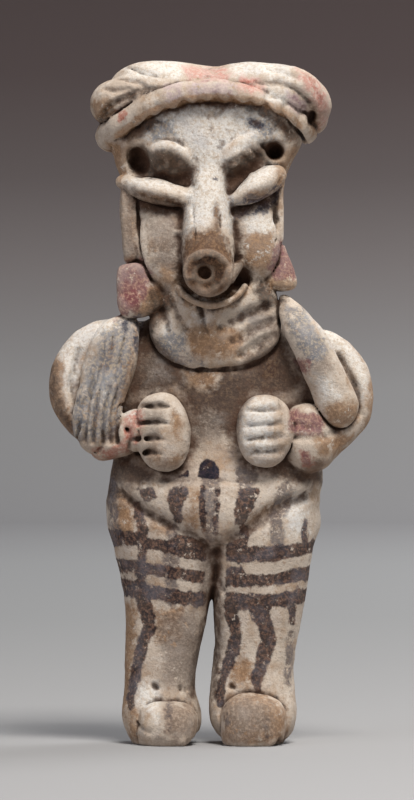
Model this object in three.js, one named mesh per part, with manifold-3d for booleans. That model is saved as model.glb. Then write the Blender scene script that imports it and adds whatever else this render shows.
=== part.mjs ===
// A small standing female figure of painted earthenware, modelled by hand in one piece: a flat body on two
// thick legs, with a headdress, ear strips, eyes, locks of hair, arms and hands pressed on as pellets and
// coils of clay. Millimetres, +Z up, the figure faces -Y, and left and right are the viewer's.
// The origin is under the middle of the figure, on the surface that it stands on.

import * as THREE from "three";
import { LoftGeometry } from "three/addons/geometries/LoftGeometry.js";
import { mergeVertices } from "three/addons/utils/BufferGeometryUtils.js";
import Module from "manifold-3d";

const wasm = await Module();
wasm.setup();

// Driving dimensions: heights above the soles of the feet.
const TOP = 110;
const BAND_HEIGHT = 104.4; // the headband's middle, over the forehead
const EYE_HEIGHT = 91;
const NOSE_TIP_HEIGHT = 75.2;
const CHIN_HEIGHT = 70;
const SHOULDER_HEIGHT = 66;
const ELBOW_HEIGHT = 57;
const HAND_HEIGHT = 50.3;

// Driving dimensions: reach to either side, and thickness.
const ARM_REACH = 26.1;
const ARM_COIL_RADIUS = 2.8;
const CHEST_FRONT = -6.4;
const HAND_FRONT = -8.3;
const LOCK_FRONT = -7.2; // the middle of a lock of hair, which lies over the arm
const NOSE_FRONT = -14.2; // where the nose is broken off

// How finely a surface is divided.
const COLUMN_SIDES = 20;
const COIL_SIDES = 8;
const COIL_STEPS = 4;
const CAP_STEPS = 2;
const CAP_REACH = 0.96; // of the radius, where a coil's round end is cut off small
const PELLET_SIDES = 14;
const PELLET_RINGS = 6;
const GROOVE_SIDES = 3;
const GROOVE_STEPS = 2;

const radians = THREE.MathUtils.degToRad;
const FORWARD = new THREE.Vector3(0, -1, 0);

// A closed surface as a solid: equal points merged, collapsed faces dropped and faces turned outwards.
function solidOf(geometry) {
  const bare = new THREE.BufferGeometry();
  bare.setAttribute("position", geometry.getAttribute("position"));
  bare.setIndex(geometry.index);
  const merged = mergeVertices(bare, 1e-4);
  const corners = merged.index.array;
  const faces = [];
  for (let i = 0; i < corners.length; i += 3) {
    const [a, b, c] = corners.subarray(i, i + 3);
    if (a !== b && b !== c && c !== a) faces.push(a, b, c);
  }
  const mesh = (triVerts) =>
    new wasm.Manifold(
      new wasm.Mesh({ numProp: 3, vertProperties: merged.attributes.position.array, triVerts }),
    );
  const made = mesh(new Uint32Array(faces));
  return made.volume() > 0 ? made : mesh(new Uint32Array(faces.reverse()));
}

const joined = (pieces) => pieces.reduce((whole, piece) => whole.add(piece));

// The value at a height, read from rows of numbers that start with their height, along a smooth curve.
function rowAt(rows, height) {
  const last = rows.length - 1;
  let i = 0;
  while (i < last - 1 && rows[i + 1][0] < height) i += 1;
  const [before, from, to, after] = [i - 1, i, i + 1, i + 2].map(
    (k) => rows[THREE.MathUtils.clamp(k, 0, last)],
  );
  const step = to[0] - from[0];
  const t = THREE.MathUtils.clamp((height - from[0]) / step, 0, 1);
  return from.map((value, k) => {
    const slopeFrom = ((to[k] - before[k]) / (to[0] - before[0])) * step;
    const slopeTo = ((after[k] - value) / (after[0] - from[0])) * step;
    return (
      value * (2 * t ** 3 - 3 * t ** 2 + 1) +
      slopeFrom * (t ** 3 - 2 * t ** 2 + t) +
      to[k] * (3 * t ** 2 - 2 * t ** 3) +
      slopeTo * (t ** 3 - t ** 2)
    );
  });
}

// A thick upright form. Its rows give height, left, right, front and back, and square is the exponent of
// its section: 2 is an oval, and more is boxier.
function column({ rows, square, heights }) {
  const sections = heights.map((height) => {
    const [, left, right, front, back] = rowAt(rows, height);
    return Array.from({ length: COLUMN_SIDES }, (_, k) => {
      const angle = (k / COLUMN_SIDES) * 2 * Math.PI;
      const [c, s] = [Math.cos(angle), Math.sin(angle)];
      const reach = (Math.abs(c) ** square + Math.abs(s) ** square) ** (-1 / square);
      return new THREE.Vector3(
        (left + right) / 2 + ((right - left) / 2) * reach * c,
        (front + back) / 2 + ((back - front) / 2) * reach * s,
        height,
      );
    });
  });
  return solidOf(new LoftGeometry(sections, { capStart: true, capEnd: true }));
}

// How far forward a column's front reaches at one place.
function frontOf({ rows, square }, x, height) {
  const [, left, right, front, back] = rowAt(rows, height);
  const across = Math.min(1, Math.abs((x - (left + right) / 2) / ((right - left) / 2)));
  return (front + back) / 2 - ((back - front) / 2) * (1 - across ** square) ** (1 / square);
}

// A pressed ball of clay. size is its half width, half depth and half height; turn rolls it in the plane
// of the body, and square is the exponent of its outline.
function pellet({ at, size, turn = 0, square = 2, sides = PELLET_SIDES }) {
  const geometry = new THREE.SphereGeometry(1, sides, PELLET_RINGS);
  const points = geometry.getAttribute("position");
  const point = new THREE.Vector3();
  for (let i = 0; i < points.count; i += 1) {
    point.fromBufferAttribute(points, i);
    const sum = [point.x, point.y, point.z].reduce((all, v) => all + Math.abs(v) ** square, 0);
    point.multiplyScalar(sum ** (-1 / square));
    points.setXYZ(i, point.x, point.y, point.z);
  }
  geometry.rotateX(Math.PI / 2);
  geometry.scale(...size);
  geometry.rotateY(radians(turn));
  geometry.translate(...at);
  return solidOf(geometry);
}

// A coil of clay laid along a path, with round ends. Each radius is that of the path's point, and flat is
// the coil's depth over its width.
function coil({ path, radii, flat = 1, sides = COIL_SIDES, steps = COIL_STEPS, caps = CAP_STEPS }) {
  const line = new THREE.CatmullRomCurve3(path.map((p) => new THREE.Vector3(...p)));
  const thick = radii.map((radius, k) => [k / (radii.length - 1), radius]);
  const stations = [];
  for (let k = caps; k > 0; k -= 1) stations.push([0, (k / caps) * CAP_REACH]);
  for (let k = 0; k <= steps; k += 1) stations.push([k / steps, 0]);
  for (let k = 1; k <= caps; k += 1) stations.push([1, (k / caps) * CAP_REACH]);
  const sections = stations.map(([t, past]) => {
    const centre = line.getPoint(t);
    const along = line.getTangent(t);
    const side = new THREE.Vector3().crossVectors(along, FORWARD).normalize();
    const back = new THREE.Vector3().crossVectors(along, side).normalize();
    const radius = rowAt(thick, t)[1];
    centre.addScaledVector(along, radius * past * (t === 0 ? -1 : 1));
    const round = radius * Math.sqrt(1 - past * past);
    return Array.from({ length: sides }, (_, k) => {
      const angle = (k / sides) * 2 * Math.PI;
      return centre
        .clone()
        .addScaledVector(side, round * Math.cos(angle))
        .addScaledVector(back, round * flat * Math.sin(angle));
    });
  });
  return solidOf(new LoftGeometry(sections, { capStart: true, capEnd: true }));
}

// A groove drawn with a stick: a thin coil that is cut away.
function groove(path, radius) {
  const radii = path.map(() => radius);
  return coil({ path, radii, sides: GROOVE_SIDES, steps: GROOVE_STEPS, caps: 1 });
}

// Points on an upright arc about a centre, from one angle to another, in degrees from the right. down is
// its half height under the centre, where that differs from up.
function arc({ at, across, up, down = up, from, to, depth, steps }) {
  return Array.from({ length: steps + 1 }, (_, k) => {
    const t = k / steps;
    const angle = radians(from + (to - from) * t);
    return [
      at[0] + across * Math.cos(angle),
      THREE.MathUtils.lerp(depth[0], depth[1], t),
      at[1] + (angle > 0 ? up : down) * Math.sin(angle),
    ];
  });
}

// Trunk and legs. Rows: height, left, right, front, back.
const TRUNK = {
  square: 2.8,
  heights: [31.5, 35, 39, 43, 48.5, 55, 61, 65, 68, 70.5],
  rows: [
    [31.5, -13.6, 14.4, -3.4, 6.6],
    [35, -16, 16.7, -6, 7.8],
    [39, -16.6, 17.4, -7.2, 8.2],
    [42, -16.5, 17.9, -7, 7.6],
    [46, -16.2, 17.5, CHEST_FRONT, 6.6],
    [53, -15.6, 16.4, CHEST_FRONT, 6.3],
    [60, -15, 15.5, CHEST_FRONT, 6.2],
    [SHOULDER_HEIGHT, -12.4, 12.4, -5.6, 5.6],
    [70.5, -7.6, 7.6, -4.2, 4.4],
  ],
};

const LEFT_LEG = {
  square: 2.5,
  heights: [0, 1.5, 4, 7.5, 12, 17.5, 23, 28, 33, 38],
  rows: [
    [0, -12.7, -2.8, -7.6, 5.6],
    [1.5, -13.5, -2.3, -8.2, 6.3],
    [3.5, -14.2, -2, -8.2, 6.7],
    [5.5, -14.4, -2.1, -7.4, 6.8],
    [8, -14.2, -2.6, -6.4, 6.5],
    [11.5, -14, -2.7, -5.8, 6.1],
    [15.5, -14, -2, -5.8, 6.1],
    [19.5, -14, -1.1, -6, 6.4],
    [23.4, -14.2, -0.2, -6.3, 6.8],
    [27, -14.8, 0.9, -6.6, 7.2],
    [31, -15.6, 1.2, -7.3, 7.7],
    [34.5, -16.1, 1.1, -7.5, 7.9],
    [38, -15.5, 0.4, -6.6, 6.5],
  ],
};

const RIGHT_LEG = {
  square: 2.5,
  heights: LEFT_LEG.heights,
  rows: [
    [0, 2.3, 11.5, -7.8, 5.4],
    [1.5, 0.8, 12.8, -8.4, 6.3],
    [3.5, -0.4, 13.4, -8.4, 6.7],
    [5.5, -0.6, 13.6, -7.6, 6.8],
    [8, -0.5, 13.5, -6.6, 6.6],
    [11.5, -0.1, 13.3, -5.9, 6.1],
    [15.5, 0.3, 13.7, -5.8, 6.1],
    [19.5, 0.4, 14.4, -6, 6.4],
    [23.4, 0.3, 15, -6.3, 6.8],
    [27, -0.3, 15.6, -6.6, 7.2],
    [31, -0.5, 16.3, -7.3, 7.7],
    [34.5, -0.4, 16.9, -7.5, 7.9],
    [38, 0.5, 16.4, -6.6, 6.5],
  ],
};

// Each foot is a pad of clay pressed on the front of the leg, cut flat below with it.
const FEET = [
  { at: [-7.3, -5.8, 0.4], size: [5.3, 6.3, 6.7], square: 2.4 },
  { at: [7.3, -5.8, 0.4], size: [5.9, 6.7, 8], square: 2.4 },
];

// The lower belly bulges over the thighs, and a V of two grooves parts it from them.
const BELLY = {
  square: 2.6,
  heights: [32.4, 34, 36, 38.5, 41, 43, 45.6],
  rows: [
    [32, -0.4, 1.8, -6, 0],
    [33.4, -3.4, 4.4, -7.4, 0],
    [36, -8.2, 8.8, -8.4, 0],
    [38.5, -12.2, 12.6, -8.7, 0],
    [41, -15, 15.8, -8.4, 0],
    [43, -15.4, 16.4, -7.5, 0],
    [46, -14.6, 15.6, -6, 0],
  ],
};
const BELLY_GROOVES = [
  [[-15.2, 41], [-10.4, 37.6], [-6, 34.6], [-1.4, 32.4]],
  [[16, 40.4], [11, 37.4], [6.6, 34.6], [2.4, 32.4]],
];
const BELLY_GROOVE_RADIUS = 0.8;

function body() {
  const grooves = BELLY_GROOVES.map((points, k) =>
    groove(
      points.map(([x, z]) => [x, frontOf([LEFT_LEG, RIGHT_LEG][k], x, z), z]),
      BELLY_GROOVE_RADIUS,
    ),
  );
  const mass = [TRUNK, LEFT_LEG, RIGHT_LEG, BELLY].map(column);
  return joined([...mass, ...FEET.map(pellet)]).subtract(joined(grooves));
}

// Each arm is a coil bent in a ring from the shoulder round to the forearm, over a thin web of clay.
// The right ring is a little lower and shorter.
const ARM_RING_ACROSS = 7.5;
const ARM_RING_UP = 8.2;
const ARM_RING_X = ARM_REACH - ARM_COIL_RADIUS - ARM_RING_ACROSS;
const ARMS = [
  { side: -1, at: [-ARM_RING_X, ELBOW_HEIGHT + 0.4], down: ARM_RING_UP },
  { side: 1, at: [ARM_RING_X, ELBOW_HEIGHT - 1.2], down: 7 },
];

const ARM_TAPER = 0.5; // how much thinner the coil is at its last point

function arm({ side, at, down }) {
  const ring = arc({
    at,
    across: side * ARM_RING_ACROSS,
    up: ARM_RING_UP,
    down,
    from: 112,
    to: -72,
    depth: [-0.6, -4.6],
    steps: 8,
  });
  const radii = ring.map((_, k) => ARM_COIL_RADIUS - ARM_TAPER * Math.max(0, k / 4 - 1));
  const web = pellet({
    at: [at[0] - side * 0.6, -0.9, at[1]],
    size: [ARM_RING_ACROSS + 1.4, 3.4, down + 1],
  });
  return coil({ path: ring, radii, steps: 11 }).add(web);
}

// The forearms: a lump at the left wrist, and a broader one on the right that runs out to the elbow.
const LEFT_FOREARM = { at: [-13.9, -6.2, 50.2], size: [3.3, 3, 4.6], turn: -16 };
const RIGHT_FOREARM = { at: [15.3, -6.4, 49.6], size: [4, 3.2, 5.9], turn: -13 };
const RIGHT_ELBOW = { path: [[15.8, -5.8, 46.9], [18.3, -5.4, 48.1], [20.6, -4, 51]], radii: [3, 2.5, 2.1] };
const FOREARM_FOLD = [[12.4, -8.6, 49.3], [15.6, -9.3, 49.3], [20.2, -7.9, 50.1]];
const FOREARM_FOLD_RADIUS = 0.7;

function forearms() {
  const right = pellet(RIGHT_FOREARM).add(coil(RIGHT_ELBOW));
  return pellet(LEFT_FOREARM).add(right.subtract(groove(FOREARM_FOLD, FOREARM_FOLD_RADIUS)));
}

// The hands are flat pellets on the belly, with the gaps between the fingers pressed in.
const HANDS = [
  { at: [-8, HAND_FRONT, HAND_HEIGHT], size: [4.4, 2.5, 6.2], turn: -6, square: 2.3, wrist: -1 },
  { at: [8.4, HAND_FRONT, HAND_HEIGHT - 0.1], size: [4.3, 2.5, 5.8], turn: 0, square: 2.3, wrist: 1 },
];
const FINGER_GAPS = [-3.9, -1.3, 1.3, 3.7];
const FINGER_GAP_RADIUS = 0.55;

function hand({ at, size, turn, square, wrist }) {
  const [x, y, z] = at;
  const face = y - size[1];
  const gaps = FINGER_GAPS.map((up) =>
    groove(
      [
        [x + wrist * 3.2, face + 0.3, z + up + 0.2],
        [x + wrist * 1, face, z + up],
        [x - wrist * 1.6, face + 0.15, z + up],
      ],
      FINGER_GAP_RADIUS,
    ),
  );
  return pellet({ at, size, turn, square }).subtract(joined(gaps));
}

// A broad combed lock of hair lies over the left arm, and a smooth round one over the right.
const COMBED_LOCK = {
  path: [
    [-13.6, -5.4, 67],
    [-15.4, LOCK_FRONT, 64],
    [-16.6, LOCK_FRONT, 60],
    [-17.9, LOCK_FRONT, 55.6],
    [-18.6, LOCK_FRONT + 0.2, 51.4],
    [-18.7, LOCK_FRONT + 0.6, 49.4],
  ],
  radii: [2.1, 3.7, 4.1, 3.8, 3.7, 2.9],
  flat: 0.62,
};
const COMBED_GROOVES = [-2.2, -0.6, 1.2, 2.6]; // across the lock, from its middle
const COMBED_GROOVE_RADIUS = 0.45;
const ROUND_LOCK = {
  path: [
    [11.6, -5.2, 70.6],
    [13.3, -6.6, 68],
    [15.3, LOCK_FRONT - 0.3, 64.6],
    [17.6, LOCK_FRONT - 0.4, 60],
    [19.9, LOCK_FRONT, 55],
    [20.5, LOCK_FRONT + 0.2, 54],
  ],
  radii: [1.5, 2.5, 3.05, 3.05, 3.2, 3.1],
  flat: 0.85,
};

function combedLock() {
  const grooves = COMBED_GROOVES.map((across) =>
    groove(
      COMBED_LOCK.path.slice(2, 6).map(([x, y, z], k) => [
        x + across * (0.85 + 0.1 * Math.min(k, 2)),
        y - COMBED_LOCK.flat * Math.sqrt(3.6 ** 2 - across ** 2) - 0.05,
        z,
      ]),
      COMBED_GROOVE_RADIUS,
    ),
  );
  return coil(COMBED_LOCK).subtract(joined(grooves));
}

// Neck, and the crescent of a collar that hangs on the chest, with folds drawn in it.
const NECK = { at: [0, -0.4, 69.5], size: [8.6, 5.2, 8] };
const COLLAR = { at: [0.6, -5, 68], size: [10.5, 3.6, 8.4], square: 2.3, sides: 18 };
const COLLAR_FOLDS = [
  [[8.8, -7.2, 69.4], [5.6, -8.4, 67.6], [2.4, -8.7, 66]],
  [[9.8, -6.8, 67], [7.2, -8.1, 65.2], [4.4, -8.4, 63.6]],
  [[-7.6, -7.4, 69.8], [-7.2, -7.9, 68], [-7.2, -7.8, 66.4]],
];
const COLLAR_FOLD_RADIUS = 0.7;

function collar() {
  const folds = COLLAR_FOLDS.map((path) => groove(path, COLLAR_FOLD_RADIUS));
  return pellet(COLLAR).subtract(joined(folds)).add(pellet(NECK));
}

// Head: a flat slab, wider at the brow.
const HEAD = {
  square: 2.5,
  heights: [70.6, 72.5, 75, 78, 82, 87, 92, 97, 102, 105],
  rows: [
    [CHIN_HEIGHT, -3.6, 4.2, -5.2, 2.4],
    [72.5, -7.4, 7.2, -7, 3.5],
    [75, -9.8, 8.6, -8, 4],
    [78, -11.2, 9.7, -8.1, 4.5],
    [82, -11.7, 10.2, -8, 4.8],
    [86, -12, 10.6, -7.8, 5],
    [EYE_HEIGHT, -12.5, 11.1, -7.7, 5.2],
    [95, -13.4, 12, -8.2, 5.5],
    [100, -14.2, 13.2, -9, 5.8],
    [105, -13, 12, -9, 5],
  ],
};

// Ear strips down either side of the face, and an ornament below each.
const EAR_STRIPS = [
  {
    path: [[-14.2, -2.8, 96], [-13.5, -3.6, 90], [-13, -4.4, 84], [-13.2, -4.8, 78.6]],
    radii: [2.2, 1.7, 1.5, 1.9],
  },
  {
    path: [[12.6, -2.8, 96], [11.4, -3.8, 90.5], [10.5, -4.6, 85], [10.4, -4.8, 81]],
    radii: [2, 1.2, 0.95, 0.9],
  },
];
const LEFT_EAR_ORNAMENT = { at: [-11.95, -6.2, 73], size: [3.75, 2.2, 4.35], square: 3.2, turn: -4 };
const RIGHT_EAR_ORNAMENT = {
  path: [[10.9, -4.7, 80], [11.1, -4.9, 77], [11, -4.8, 74.7]],
  radii: [0.9, 1.7, 2.65],
  flat: 0.95,
};

// Eyes: an upper and a lower lid on each side, rolled like coffee beans, with a hole at the outer corner.
const LIDS = [
  {
    path: [[-9, -6.6, 94.1], [-7.4, -7.1, 94.1], [-5.4, -7.1, 93.4], [-3.9, -6.8, 92.6]],
    radii: [1.9, 2.7, 2.4, 1.4],
  },
  {
    path: [[-13.2, -4.6, 89.5], [-11, -6.8, 88.9], [-8, -7.3, 88.4], [-4.8, -7, 87.6]],
    radii: [1, 2.1, 2.2, 1.1],
  },
  {
    path: [[2, -7, 92.9], [3.6, -7.4, 94], [5.8, -7.5, 95.4], [8, -6.6, 96.2]],
    radii: [1.2, 1.9, 1.9, 1.3],
  },
  {
    path: [[5.5, -6.8, 87.9], [7.2, -7.4, 88.5], [9, -7.2, 90], [10.9, -5.4, 91.6]],
    radii: [1.4, 2.6, 2.8, 1.7],
  },
];
const EYE_HOLES = [
  { at: [-11.8, -6.8, 93.4], size: [1.5, 3.8, 2.3], turn: -12 },
  { at: [-3.7, -8.6, 90.9], size: [1, 2.6, 1.1] },
  { at: [10.1, -6.8, 94.9], size: [1.4, 3.6, 1.4] },
];

// The nose runs forward from the brow to a tip that is broken off flat, with a pit in the break.
const NOSE_X = -0.7;
const NOSE_RADIUS = 3.8;
const NOSE = {
  path: [
    [-0.2, -7.3, 92.6],
    [-0.4, -7.6, 89.6],
    [NOSE_X, -7.6, 86],
    [NOSE_X, -8.7, 81.6],
    [NOSE_X, -10, 78],
  ],
  radii: [1.6, 2.5, 3.8, 4.05, 3.9],
};
const NOSE_END = { path: [[NOSE_X, -6, 78], [NOSE_X, NOSE_FRONT + 1, NOSE_TIP_HEIGHT + 0.2]] };
const NOSE_PIT = { at: [-1, NOSE_FRONT, NOSE_TIP_HEIGHT], size: [1.1, 1.8, 1.1] };

// Under the nose the mouth is a slot, above the thin rim of the lower lip.
const LIP = { at: [0.5, 76.7], across: 6.3, up: 6.3, from: 216, to: 336, depth: [-8.2, -8.2], steps: 8 };
const LIP_RADIUS = 0.75;
const LIP_PROUD = 2.1; // how much further forward the rim stands in its middle
const JAW = { at: [0.4, -4.8, 73.6], size: [6, 3.6, 3.4] };
function head() {
  const rim = arc(LIP).map(([x, y, z], k, all) => [
    x,
    y - LIP_PROUD * Math.sin((k / (all.length - 1)) * Math.PI),
    z,
  ]);
  const snout = coil({ ...NOSE_END, radii: [NOSE_RADIUS, NOSE_RADIUS], steps: 2, sides: 14 });
  const beyond = new THREE.BoxGeometry(12, 8, 14);
  beyond.rotateX(radians(-8));
  beyond.translate(NOSE_X, NOSE_FRONT - 4, NOSE_TIP_HEIGHT);
  const face = joined([
    column(HEAD),
    pellet(JAW),
    coil({ path: rim, radii: rim.map(() => LIP_RADIUS), flat: 2 }),
    coil(NOSE),
    snout.subtract(solidOf(beyond)),
    ...LIDS.map(coil),
    ...EAR_STRIPS.map(coil),
    pellet(LEFT_EAR_ORNAMENT),
    coil(RIGHT_EAR_ORNAMENT),
  ]);
  return face.subtract(joined([...EYE_HOLES, NOSE_PIT].map(pellet)));
}

// Headdress: a crown of puffed lobes above a pinched band that arches over the forehead.
const BAND_X = -0.9;
const BAND_ACROSS = 15.8;
const BAND_Y = -1.2;
const BAND_DEEP = 8.6;
const BAND_DROP = 6.6; // from over the forehead to the sides
const BAND_TILT = 0.03; // it rises this much for each millimetre to the right
const BAND_HALF_HEIGHT = 2.3;
const BAND_HALF_DEPTH = 1.9;
const BAND_STEPS = 24;
const CROWN_LOBES = [
  { at: [-7.6, -0.8, 104], size: [9.5, 8.4, 6.1], square: 2.2, sides: 18 },
  { at: [7.8, -0.8, 103.8], size: [9.5, 8.4, 6.1], square: 2.2, sides: 18 },
  { at: [0, -0.6, 103.6], size: [8, 8.2, 5.2], square: 2.2 },
];
const CROWN_ROLLS = [
  {
    path: [[-8.4, -7, 106.2], [-12.4, -6.2, 105], [-16, -3.8, 102.9], [-15.8, 1.5, 102]],
    radii: [1, 2.3, 3.3, 3],
  },
  {
    path: [[8, -7, 106], [12.8, -6, 106], [15.9, -3.2, 103.2], [16.2, 0.6, 100.6]],
    radii: [1.4, 2.6, 3, 2.7],
  },
];

function headdress() {
  const sections = Array.from({ length: BAND_STEPS }, (_, k) => {
    const turn = (k / BAND_STEPS) * 2 * Math.PI;
    const out = new THREE.Vector3(Math.sin(turn), -Math.cos(turn), 0);
    const drop = BAND_DROP * (Math.cos(turn) > 0 ? Math.sin(turn) ** 2 : 1);
    const centre = new THREE.Vector3(
      BAND_X + BAND_ACROSS * out.x,
      BAND_Y + BAND_DEEP * out.y,
      BAND_HEIGHT - drop + BAND_TILT * BAND_ACROSS * out.x,
    );
    return Array.from({ length: COIL_SIDES }, (__, j) => {
      const angle = (j / COIL_SIDES) * 2 * Math.PI;
      return centre
        .clone()
        .addScaledVector(out, BAND_HALF_DEPTH * Math.cos(angle))
        .setZ(centre.z + BAND_HALF_HEIGHT * Math.sin(angle));
    });
  });
  const band = solidOf(new LoftGeometry([...sections, sections[0]]));
  return joined([band, ...CROWN_LOBES.map(pellet), ...CROWN_ROLLS.map(coil)]);
}

// The whole figure, cut flat at the soles and centred over the origin.
function figure() {
  const clay = joined([
    body(),
    ...ARMS.map(arm),
    forearms(),
    ...HANDS.map(hand),
    combedLock(),
    coil(ROUND_LOCK),
    collar(),
    head(),
    headdress(),
  ]);
  const below = new THREE.BoxGeometry(4 * ARM_REACH, 4 * ARM_REACH, TOP);
  below.translate(0, 0, -TOP / 2);
  const standing = clay.subtract(solidOf(below));
  const { min, max } = standing.boundingBox();
  return standing.translate([-(min[0] + max[0]) / 2, -(min[1] + max[1]) / 2, 0]);
}

function geometryOf(solid) {
  const { vertProperties, triVerts } = solid.getMesh();
  const geometry = new THREE.BufferGeometry();
  geometry.setAttribute("position", new THREE.BufferAttribute(vertProperties, 3));
  geometry.setIndex(new THREE.BufferAttribute(triVerts, 1));
  return geometry;
}

const earthenware = new THREE.MeshStandardMaterial({ color: 0xcbb594, roughness: 0.75, metalness: 0 });
const standingFigure = new THREE.Mesh(geometryOf(figure()), earthenware);
standingFigure.name = "standing_figure";

const group = new THREE.Group();
group.add(standingFigure);

export default group;
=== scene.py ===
# A small standing female figure of painted earthenware, modelled by hand in one piece. Its clay is built up
# here as the potter built it, in millimetres, with the soles at height 0 and the face towards -Y. Left and
# right are the viewer's.
import math

import bpy
import mathutils
import numpy as np
import openvdb
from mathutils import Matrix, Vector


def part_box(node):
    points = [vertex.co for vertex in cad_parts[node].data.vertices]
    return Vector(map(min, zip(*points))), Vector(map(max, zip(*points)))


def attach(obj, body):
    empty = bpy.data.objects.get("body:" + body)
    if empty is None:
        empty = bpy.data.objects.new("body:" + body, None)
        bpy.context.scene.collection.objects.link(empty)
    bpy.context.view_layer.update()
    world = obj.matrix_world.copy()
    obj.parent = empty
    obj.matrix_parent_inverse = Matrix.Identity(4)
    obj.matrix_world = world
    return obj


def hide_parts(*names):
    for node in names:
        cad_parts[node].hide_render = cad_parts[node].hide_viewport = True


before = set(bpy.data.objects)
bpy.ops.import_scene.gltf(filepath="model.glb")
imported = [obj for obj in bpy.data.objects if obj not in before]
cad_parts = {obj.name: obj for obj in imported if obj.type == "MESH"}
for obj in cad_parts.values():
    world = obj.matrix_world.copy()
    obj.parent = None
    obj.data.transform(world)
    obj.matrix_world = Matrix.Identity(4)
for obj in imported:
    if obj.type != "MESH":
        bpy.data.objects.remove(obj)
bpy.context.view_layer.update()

# Trunk and legs: a flat slab of clay on two thick legs, squeezed into shape between the fingers. The clay is
# kept as one block of points, each holding its distance in millimetres to the surface of the clay, below zero
# inside it, and every later lump is pressed onto it.
POINT_SPACING = 0.26
BLOCK_LOW = (-27.6, -16.4, -1.2)
BLOCK_HIGH = (27.6, 11.4, 111.6)
OPEN_AIR = 4.0
axes = [np.arange(a, b, POINT_SPACING, dtype=np.float32) for a, b in zip(BLOCK_LOW, BLOCK_HIGH)]


def swellings(size, seed):
    """Smooth random swellings and hollows over the whole block, this many millimetres from one to the next."""
    weights = []
    for axis in axes:
        place = (axis - axis[0]) / size
        first = np.floor(place).astype(int)
        t = place - first
        rows = np.zeros((len(axis), first.max() + 4), np.float32)
        cubic = [(1 - t) ** 3, 3 * t**3 - 6 * t**2 + 4, -3 * t**3 + 3 * t**2 + 3 * t + 1, t**3]
        for k, weight in enumerate(cubic):
            rows[np.arange(len(axis)), first + k] = weight / 6
        weights.append(rows)
    random = np.random.default_rng(seed).uniform(-3, 3, [rows.shape[1] for rows in weights])
    random = random.astype(np.float32)
    random = np.tensordot(weights[0], random, (1, 0))
    random = np.tensordot(random, weights[1], (1, 1))
    return np.tensordot(random, weights[2], (1, 1))


# A hand never draws a true line, so every form is laid out on coordinates that wander a little.
WANDER = 0.16
WANDER_SIZE = 3.6
X = axes[0][:, None, None] + WANDER * swellings(WANDER_SIZE, 11)
Y = axes[1][None, :, None] + WANDER * swellings(WANDER_SIZE, 12)
Z = axes[2][None, None, :] + WANDER * swellings(WANDER_SIZE, 13)
clay = np.full(X.shape, OPEN_AIR, np.float32)


def around(low, high, spare=2.4):
    """The part of the block between two corners."""
    where = []
    for axis, a, b in zip(axes, low, high):
        first = int((a - spare - axis[0]) / POINT_SPACING)
        last = int((b + spare - axis[0]) / POINT_SPACING) + 2
        where.append(slice(max(0, first), max(1, min(len(axis), last))))
    return tuple(where)


def upright(rows, square):
    """A thick upright form. Rows give height, left, right, front and back, and square is the exponent of its
    section: 2 is an oval, and more is squarer."""
    rows = np.array(rows, np.float32)
    low = [rows[:, 1].min(), rows[:, 3].min(), rows[0, 0]]
    high = [rows[:, 2].max(), rows[:, 4].max(), rows[-1, 0]]
    where = around(low, high)
    slopes = np.gradient(rows[:, 1:], rows[:, 0], axis=0)
    heights = np.linspace(rows[0, 0], rows[-1, 0], 240)
    i = np.clip(np.searchsorted(rows[:, 0], heights, "right") - 1, 0, len(rows) - 2)
    step = (rows[i + 1, 0] - rows[i, 0])[:, None]
    t = (heights[:, None] - rows[i, :1]) / step
    sides = (
        rows[i, 1:] * (2 * t**3 - 3 * t**2 + 1)
        + slopes[i] * step * (t**3 - 2 * t**2 + t)
        + rows[i + 1, 1:] * (3 * t**2 - 2 * t**3)
        + slopes[i + 1] * step * (t**3 - t**2)
    )
    z = Z[where]
    left, right, front, back = [np.interp(z, heights, side).astype(np.float32) for side in sides.T]
    half_width = (right - left) / 2
    half_depth = (back - front) / 2
    u = np.abs(X[where] - (left + right) / 2) / half_width + 1e-3
    v = np.abs(Y[where] - (front + back) / 2) / half_depth + 1e-3
    reach = (u**square + v**square) ** (1 / square)
    steep = np.hypot(u ** (square - 1) / half_width, v ** (square - 1) / half_depth) * reach ** (1 - square)
    return where, np.maximum((reach - 1) / steep, np.maximum(z - high[2], low[2] - z))


def pellet(at, size, turn=0.0, tip=0.0, square=2.0):
    """A pressed ball of clay. size is its half width, half depth and half height; turn rolls it in the plane
    of the body, tip leans its top forward, and square is the exponent of its outline."""
    longest = max(size)
    reach = [longest if turn or tip else s for s in size]
    where = around([a - r for a, r in zip(at, reach)], [a + r for a, r in zip(at, reach)])
    x, y, z = X[where] - at[0], Y[where] - at[1], Z[where] - at[2]
    c, s = math.cos(math.radians(turn)), math.sin(math.radians(turn))
    x, z = x * c - z * s, x * s + z * c
    c, s = math.cos(math.radians(tip)), math.sin(math.radians(tip))
    y, z = y * c + z * s, z * c - y * s
    u = [np.abs(w) / half + 1e-3 for w, half in zip((x, y, z), size)]
    reach = sum(w**square for w in u) ** (1 / square)
    steep = np.sqrt(sum((w ** (square - 1) / half) ** 2 for w, half in zip(u, size))) * reach ** (1 - square)
    return where, (reach - 1) / steep


def smooth_line(path, steps):
    """Points on a smooth line through a path's points; whatever else the path's rows hold is smoothed too."""
    rows = np.array(path, float)
    rows = np.vstack([2 * rows[0] - rows[1], rows, 2 * rows[-1] - rows[-2]])
    line = []
    for a, b, c, d in zip(rows, rows[1:], rows[2:], rows[3:]):
        for t in np.arange(steps) / steps:
            line.append(b + 0.5 * t * (c - a + t * (2 * a - 5 * b + 4 * c - d + t * (3 * (b - c) + d - a))))
    return np.array([*line, rows[-2]])


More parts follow.
